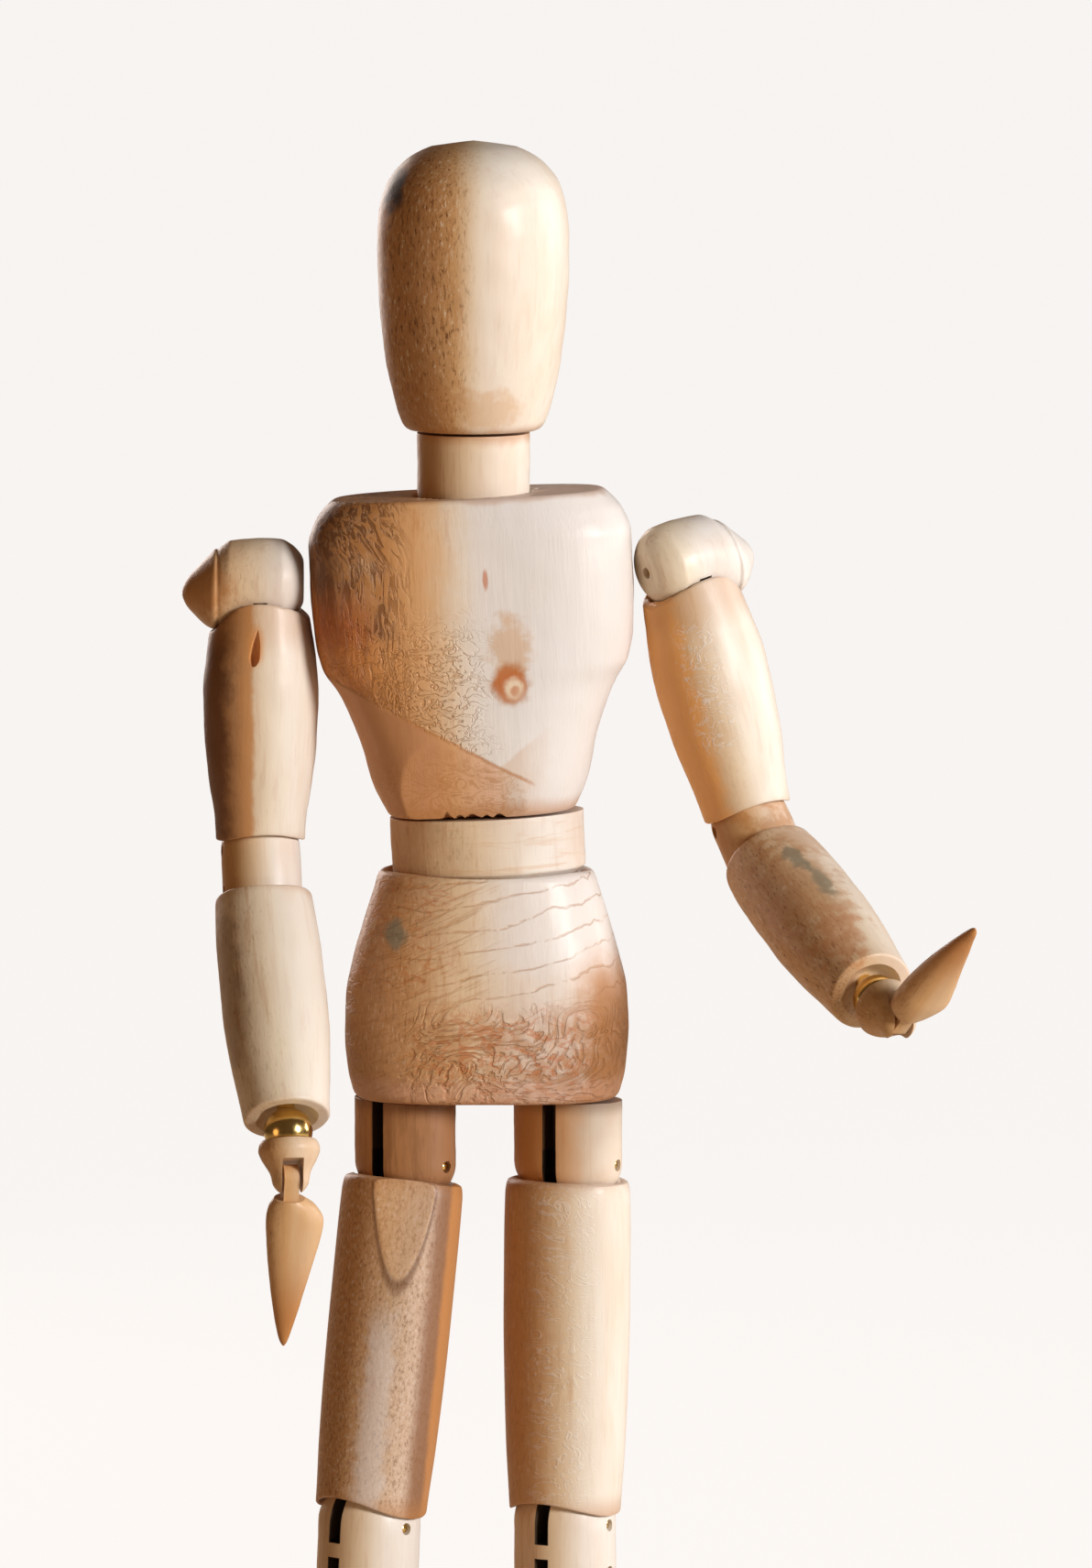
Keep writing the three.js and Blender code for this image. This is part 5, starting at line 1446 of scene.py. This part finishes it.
def add_hip(side):
    widen = HIP_HALF_WIDTH / HIP_HALF_DEPTH
    lower = arc(HIP_HALF_DEPTH, 0, 2, 90, 14)
    rings = [[z, r * widen, r] for z, r in lower]
    rings.append([HIP_BLOCK_RISE, HIP_HALF_WIDTH, HIP_HALF_DEPTH])
    shape = form(rings, level(lower[0][0]), level(HIP_BLOCK_RISE), rows=50, edge=0.05)
    width = TONGUE_THICKNESS + 2 * GAP
    depth = TONGUE_EYE_RADIUS + GAP
    height = depth + HIP_HALF_DEPTH + 1
    hole = HIP_HALF_WIDTH + 1
    cutters = [
        box_object((width, 4 * HIP_HALF_DEPTH, height), (0, 0, depth - height / 2)),
        box_object((width, 2 * HIP_GROOVE_DEPTH, 2 * HIP_BLOCK_RISE), (0, -HIP_HALF_DEPTH, HIP_BLOCK_RISE)),
        rod_object(PIN_RADIUS + PIN_PLAY, (-hole, 0, 0), (hole, 0, 0)),
    ]
    node = side + "_hip_block"
    body = side + "_hip"
    w = wood(node + "_wood", body, tone=0.6, left=0.5, width=6, burr=0.35)
    if side == "right":
        w.tint(0.85, HONEY)
        w.tint(w.times(w.region([("x", -2.0, 3.5)], 1.0), 0.6), DARK)
        w.tint(w.times(w.ramp(w.streak, 0.45, 0.62), 0.3), UMBER)
    else:
        # painted shade: honey and orange on the right-hand side, away from the key lamp
        w.tint(w.times(w.region([("x", -0.6, -2.2)], 0.6), 0.8), HONEY)
        w.tint(w.times(w.region([("x", 2.5, -0.5)], 1.0), 0.5), ORANGE)
    # painted shade under the pelvis: the block darkens towards its top
    w.tint(w.times(w.ramp(w.parts["z"], HIP_BLOCK_RISE - 1.6, HIP_BLOCK_RISE), 0.5), UMBER)
    w.shade_slot(high=TONGUE_EYE_RADIUS + GAP + 0.05)
    w.shade_slot(front=HIP_GROOVE_DEPTH - HIP_HALF_DEPTH + 0.05)
    material = w.finish()
    add(node, shape, body, material, body, cutters)
    reach = HIP_HALF_WIDTH - PIN_INSET
    pin(side + "_hip_pin", body, body, [-reach, reach])


def add_thigh(side):
    width = THIGH_HALF_WIDTH - THIGH_EASE
    depth = THIGH_HALF_DEPTH - THIGH_EASE
    end = THIGH_LENGTH - SIDE_LIP
    end_radius = KNEE_RADIUS + LIMB_OVERHANG
    rings = [
        [-end, end_radius, end_radius],
        [-0.93 * end, 0.88 * width, 0.97 * depth],
        [-0.8 * end, 0.93 * width, 0.99 * depth],
        [-0.62 * end, 0.97 * width, depth],
        [-0.42 * end, width, 0.98 * depth],
        [-0.22 * end, width, 0.98 * depth],
        [-0.09 * end, 0.985 * width, 0.98 * depth],
        [-HIP_LIP - THIGH_TOP_EDGE, 0.965 * width, 0.97 * depth],
        [-HIP_LIP - 0.5 * THIGH_TOP_EDGE, 0.95 * width, 0.95 * depth],
        [-HIP_LIP - 0.15 * THIGH_TOP_EDGE, 0.91 * width, 0.91 * depth],
        [-HIP_LIP, 0.865 * width, 0.865 * depth],
    ]
    widen = HIP_HALF_WIDTH / HIP_HALF_DEPTH
    slope = math.atan(THIGH_FLAT_DEPTH / THIGH_FLAT_LENGTH)
    normal = turned_by(math.degrees(-slope), "X").to_3x3() @ Vector((0, -1, 0))
    turn = turned_by(THIGH_FLAT_TURN, "Z").to_3x3()
    surface = 0.985 * (turn.transposed() @ Vector((0, 1, 0)))
    surface = math.hypot(width * surface.x, depth * surface.y)
    place = Vector((0, -surface, -THIGH_FLAT_LENGTH - HIP_LIP))
    seat = HIP_HALF_DEPTH + GAP
    wide = (HIP_HALF_DEPTH * widen + GAP) / seat

    def planed(points):
        """Planes the flat on the right thigh."""
        upper = points[:, 2] > -2 * THIGH_FLAT_LENGTH
        moved = points.copy()
        turned = points[upper] @ np.array(turn)
        moved[upper] = plane_off(turned, [(place, normal)]) @ np.array(turn).T
        return moved

    def top(x, y):
        dish = np.sqrt(np.maximum(seat**2 - (x / wide) ** 2 - y**2, 0))
        return -np.maximum(HIP_LIP, dish)

    shape = form(
        rings,
        cup_above(-THIGH_LENGTH, cup_surface(KNEE_RADIUS, end_radius, front_lip=KNEE_FRONT_LIP)),
        top,
        steps=180,
        rows=120,
        wobble=0,
        trim=planed if side == "right" else None,
    )
    name = side + "_thigh"
    w = wood(name + "_wood", name, tone=0.5 if side == "right" else 0.2, left=0.7, width=6)
    if side == "right":
        w.tint(0.42, HONEY)
        fine = w.noise(w.stretched(w.vector, (1.0, 1.0, 0.55)), 3.6, 5.0, 0.75)
        w.tint(w.times(w.ramp(fine, 0.5, 0.64), 0.55), UMBER)
        w.tint(w.times(w.ramp(fine, 0.46, 0.34), 0.45), PALE)
        w.raise_by(fine, 0.6)
        # a painted highlight: a pale band down the lower front
        w.tint(w.times(w.region([("x", -2.6, -1.2), ("x", 1.6, 0.2), ("z", -13.0, -18.0)], 1.2), 0.45), PALE)
        # painted shade: a dark band along the left-hand side, towards the other thigh, with an orange strip at its
        # edge
        w.tint(w.times(w.region([("x", 2.6, 4.2)], 0.3), 0.85), DARK)
        w.tint(w.times(w.region([("x", 4.7, 5.3)], 0.2), 0.55), ORANGE)
        # the tone of the planed flat, and painted shade in a dark line along its rim
        offset = w.node("VectorMath", {0: w.vector, 1: turn @ place}, operation="SUBTRACT").outputs[0]
        ahead = w.dot(offset, turn @ normal)
        flat = w.times(w.ramp(ahead, -0.1, -0.04), w.region([("y", 1.0, 0.0), ("z", -16.0, -15.0)], 0.1))
        rim = w.times(w.ramp(ahead, -0.3, -0.14), w.ramp(ahead, -0.04, -0.12))
        rim = w.times(rim, w.region([("y", 1.0, 0.0), ("z", -16.0, -15.0)], 0.1))
        w.tint(w.times(flat, 0.3), TAN)
        w.tint(w.times(rim, 0.65), UMBER)
    else:
        # painted shade: browner towards the right-hand side, away from the key lamp
        w.tint(w.times(w.region([("x", -0.5, -4.0)], 1.5), 0.75), HONEY)
        w.tint(w.times(w.region([("x", 2.0, -2.0)], 1.5), 0.35), TAN)
        w.flecks(0.25)
        w.ripples(0.25, w.region([("x", -5.0, -2.0), ("x", 4.0, 1.0)], 1.0))
    w.darken_ends([(-32.5, -35.5, 0.55), (-3.5, -1.0, 0.35)])
    material = w.finish()
    add(name, shape, name, material, name)


def add_shin(side):
    width = SHIN_RADIUS
    end = SHIN_LENGTH - ANKLE_SHIN_LIP
    end_radius = KNEE_RADIUS + LIMB_OVERHANG
    rings = [
        [-end, 0.72 * width, 0.72 * width],
        [-0.88 * end, 0.72 * width, 0.74 * width],
        [-0.7 * end, 0.83 * width, 0.86 * width, 2, 0.1],
        [-0.48 * end, 0.95 * width, 0.98 * width, 2, 0.3],
        [-0.28 * end, width, width, 2, 0.3],
        [-0.12 * end, 0.97 * width, 0.96 * width, 2, 0.1],
        [-SIDE_LIP, end_radius, end_radius],
    ]
    seat = dent(-end, ANKLE_RADIUS + GAP, -SHIN_LENGTH, True)
    cup = cup_surface(KNEE_RADIUS, end_radius, front_lip=KNEE_FRONT_LIP)
    shape = form(rings, seat, cup_below(0, cup), rows=60)
    name = side + "_shin"
    material = wood(name + "_wood", name, tone=0.35, left=0.7, width=6, burr=0.4).finish()
    add(name, shape, name, material, name)


def foot_top(y):
    """The height of the foot's upper side above the sole's middle line, along its length."""
    sole = -ANKLE_HEIGHT
    top = -ANKLE_FOOT_LIP
    toe = FOOT_HEEL - FOOT_LENGTH
    places = np.array([toe, toe + 0.7, toe + 2.6, -10.5, -7, -4.6, -3, 2.4, 4.6, 5.8, FOOT_HEEL])
    heights = np.array([
        sole + 1.6,
        sole + FOOT_TOE_HEIGHT - 0.5,
        sole + FOOT_TOE_HEIGHT + 0.3,
        sole + FOOT_TOE_HEIGHT + 1.3,
        top - 1.6,
        top - 0.35,
        top,
        top,
        top - 1.0,
        top - 3.0,
        sole + 3.2,
    ])
    return smooth_between(places, heights, y)


def add_foot(side):
    sole = -ANKLE_HEIGHT
    half = FOOT_WIDTH / 2
    length = FOOT_LENGTH / 2
    middle = FOOT_HEEL - length
    rings = [
        [sole, half, length, 2.7, middle],
        [0.45 * sole, 0.92 * half, length, 2.6, middle],
        [0, 0.8 * half, length, 2.5, middle],
    ]
    seat = ANKLE_RADIUS + GAP

    def top(x, y):
        dish = np.sqrt(np.maximum(seat**2 - x**2 - y**2, 0))
        return np.where(dish > ANKLE_FOOT_LIP, np.minimum(foot_top(y), -dish), foot_top(y))

    shape = form(rings, level(sole), top, steps=TORSO_ROUND, rows=24, edge=0.5)
    name = side + "_foot"
    material = wood(name + "_wood", name, tone=0.45, left=0.4, width=6, burr=0.3).finish()
    add(name, shape, name, material, name)
    ankle = revolved(arc(ANKLE_RADIUS, 0, 0, 180, 24), 48)
    ankle_material = wood(side + "_ankle_wood", side + "_ankle", tone=0.4, left=0.5, width=3).finish()
    node = side + "_ankle_ball"
    stem = revolved([[0, 0], [0, 1], [7, 1], [7, 0]], 24)
    offset = len(ankle[0])
    stem_faces = [tuple(index + offset for index in face) for face in stem[1]]
    both = np.concatenate([ankle[0], stem[0]])
    add(node, (both, ankle[1] + stem_faces), side + "_ankle", ankle_material, side + "_ankle")


def add_stand():
    rings = [[0, BASE_RADIUS], [BASE_THICKNESS, BASE_RADIUS]]
    shape = form(
        [[0, BASE_RADIUS], [BASE_THICKNESS / 2, BASE_RADIUS], rings[1]],
        level(0),
        level(BASE_THICKNESS),
        steps=180,
        rows=12,
        edge=BASE_EDGE,
        wobble=0.01,
    )
    hole = rod_object(
        ROD_RADIUS + GAP,
        (ROD_X, ROD_Y, BASE_THICKNESS - ROD_HOLE_DEPTH - GAP),
        (ROD_X, ROD_Y, BASE_THICKNESS + 2),
        32,
    )
    material = wood("base_wood", "world", tone=0.35, left=0.2, width=40, burr=0.1, grain=1.2).finish()
    add("base", shape, "world", material, "stand_and_pelvis", [hole])


def add_rod():
    pelvis_bottom = joints["pelvis"].translation.z
    seat = Vector((ROD_SEAT_X, PELVIS_HALF_DEPTH - ROD_SEAT_DEPTH, pelvis_bottom + ROD_SEAT_RISE))
    foot = Vector((ROD_X, ROD_Y, BASE_THICKNESS - ROD_HOLE_DEPTH))
    bend = [
        Vector((ROD_X, ROD_Y, seat.z - 2 * ROD_BEND)),
        Vector((ROD_X, ROD_Y, seat.z)),
        Vector((seat.x, ROD_Y, seat.z)),
        Vector((seat.x, ROD_Y - ROD_BEND, seat.z)),
    ]
    points = [foot + (bend[0] - foot) * k / 12 for k in range(12)]
    for k in range(33):
        t = k / 32
        points.append(
            (1 - t) ** 3 * bend[0]
            + 3 * t * (1 - t) ** 2 * bend[1]
            + 3 * t**2 * (1 - t) * bend[2]
            + t**3 * bend[3]
        )
    points += [bend[3] + (seat - bend[3]) * k / 4 for k in range(1, 5)]
    add("support_rod", tube(points, ROD_RADIUS), "world", STEEL, "stand_and_pelvis")


def dress_hardware():
    """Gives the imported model's own tongues and springs their metals."""
    for name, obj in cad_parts.items():
        if name.endswith("tongue"):
            obj.data.materials.clear()
            obj.data.materials.append(BRASS)
        elif name.endswith("spring"):
            obj.data.materials.clear()
            obj.data.materials.append(STEEL)


def build():
    add_stand()
    add_rod()
    add_pelvis()
    add_waist()
    add_chest()
    add_neck()
    add_head()
    for side in SIDES:
        add_shoulder(side)
        add_upper_arm(side)
        add_link(side, "elbow", side + "_elbow", ELBOW_RADIUS, ELBOW_PIN_SPACING, ELBOW_SLOT_REACH, 1.0)
        add_forearm(side)
        add_wrist(side)
        add_hand(side)
        add_hip(side)
        add_thigh(side)
        add_link(side, "knee", side + "_knee", KNEE_RADIUS, KNEE_PIN_SPACING, 9, 0.5)
        add_shin(side)
        add_foot(side)
    dress_hardware()


# Studio

BACKGROUND = (0.955, 0.925, 0.905, 1)
IMAGE_SIZE = (1192, 1712)
PIXELS_PER_MM = 11
PHOTO_MIDDLE_X = 531
HEAD_TOP_PIXEL = 153
CAMERA_DISTANCE = 1200
CAMERA_RISE = 6.5


def studio_material(name, colour):
    """A plain matt surface that the camera mostly sees in the background's own colour."""
    g = Graph(name)
    matt = g.node("BsdfDiffuse", {"Color": colour})
    glow = g.node("Emission", {"Color": BACKGROUND, "Strength": 1.08})
    seen = g.math("MULTIPLY", g.node("LightPath").outputs["Is Camera Ray"], 0.9)
    both = g.node("MixShader", {0: seen, 1: matt.outputs[0], 2: glow.outputs[0]})
    g.node("OutputMaterial", {0: both.outputs[0]})
    return g.material


def add_floor():
    size = 6000
    points = [(-size, -size, 0), (size, -size, 0), (size, size, 0), (-size, size, 0)]
    floor = make_object("floor", points, [(0, 1, 2, 3)])
    floor.data.transform(Matrix.Scale(MM, 4) @ Matrix.Translation((0, 0, -0.05)))
    floor.data.materials.append(studio_material("floor_matt", (0.70, 0.60, 0.48, 1)))


def add_world():
    world = bpy.data.worlds.new("studio")
    bpy.context.scene.world = world
    world.use_nodes = True
    tree = world.node_tree
    tree.nodes.clear()
    path = tree.nodes.new("ShaderNodeLightPath")
    ambient = tree.nodes.new("ShaderNodeBackground")
    ambient.inputs["Color"].default_value = (1.0, 0.66, 0.4, 1)
    ambient.inputs["Strength"].default_value = 0.09
    seen = tree.nodes.new("ShaderNodeBackground")
    seen.inputs["Color"].default_value = BACKGROUND
    seen.inputs["Strength"].default_value = 1.0
    mix = tree.nodes.new("ShaderNodeMixShader")
    tree.links.new(path.outputs["Is Camera Ray"], mix.inputs[0])
    tree.links.new(ambient.outputs[0], mix.inputs[1])
    tree.links.new(seen.outputs[0], mix.inputs[2])
    output = tree.nodes.new("ShaderNodeOutputWorld")
    tree.links.new(mix.outputs[0], output.inputs[0])


def look_at(obj, target):
    direction = Vector(target) - obj.location
    obj.rotation_euler = direction.to_track_quat("-Z", "Y").to_euler()


def add_lamp(name, place, size, power, colour):
    data = bpy.data.lights.new(name, "AREA")
    data.shape = "DISK"
    data.size = size * MM
    data.energy = power
    data.color = colour
    lamp = bpy.data.objects.new(name, data)
    bpy.context.collection.objects.link(lamp)
    lamp.location = Vector(place) * MM
    look_at(lamp, Vector((0, 0, 130)) * MM)
    return lamp


def add_camera():
    data = bpy.data.cameras.new("camera")
    camera = bpy.data.objects.new("camera", data)
    bpy.context.collection.objects.link(camera)
    width, height = IMAGE_SIZE
    top = joints["head"].translation.z + HEAD_HEIGHT
    target = Vector((
        (width / 2 - PHOTO_MIDDLE_X) / PIXELS_PER_MM,
        0,
        top - (height / 2 - HEAD_TOP_PIXEL) / PIXELS_PER_MM,
    ))
    rise = math.radians(CAMERA_RISE)
    away = Vector((0, -math.cos(rise), math.sin(rise))) * CAMERA_DISTANCE
    camera.location = (target + away) * MM
    look_at(camera, target * MM)
    data.sensor_fit = "VERTICAL"
    data.sensor_height = 36
    data.lens = 36 * CAMERA_DISTANCE / (height / PIXELS_PER_MM)
    data.clip_start = 0.01
    data.clip_end = 20
    bpy.context.scene.camera = camera


def light_studio():
    add_floor()
    add_world()
    add_lamp("key", (590, -490, 350), 240, 6.5, (1.0, 1.0, 1.0))
    add_lamp("edge", (560, 160, 260), 260, 1.1, (1.0, 1.0, 1.0))
    add_lamp("back", (-260, 560, 260), 300, 1.3, (1.0, 0.86, 0.78))
    add_lamp("fill", (-520, -300, 120), 260, 0.3, (1.0, 0.62, 0.35))
    bpy.context.scene.view_settings.view_transform = "Standard"


build()
light_studio()
add_camera()
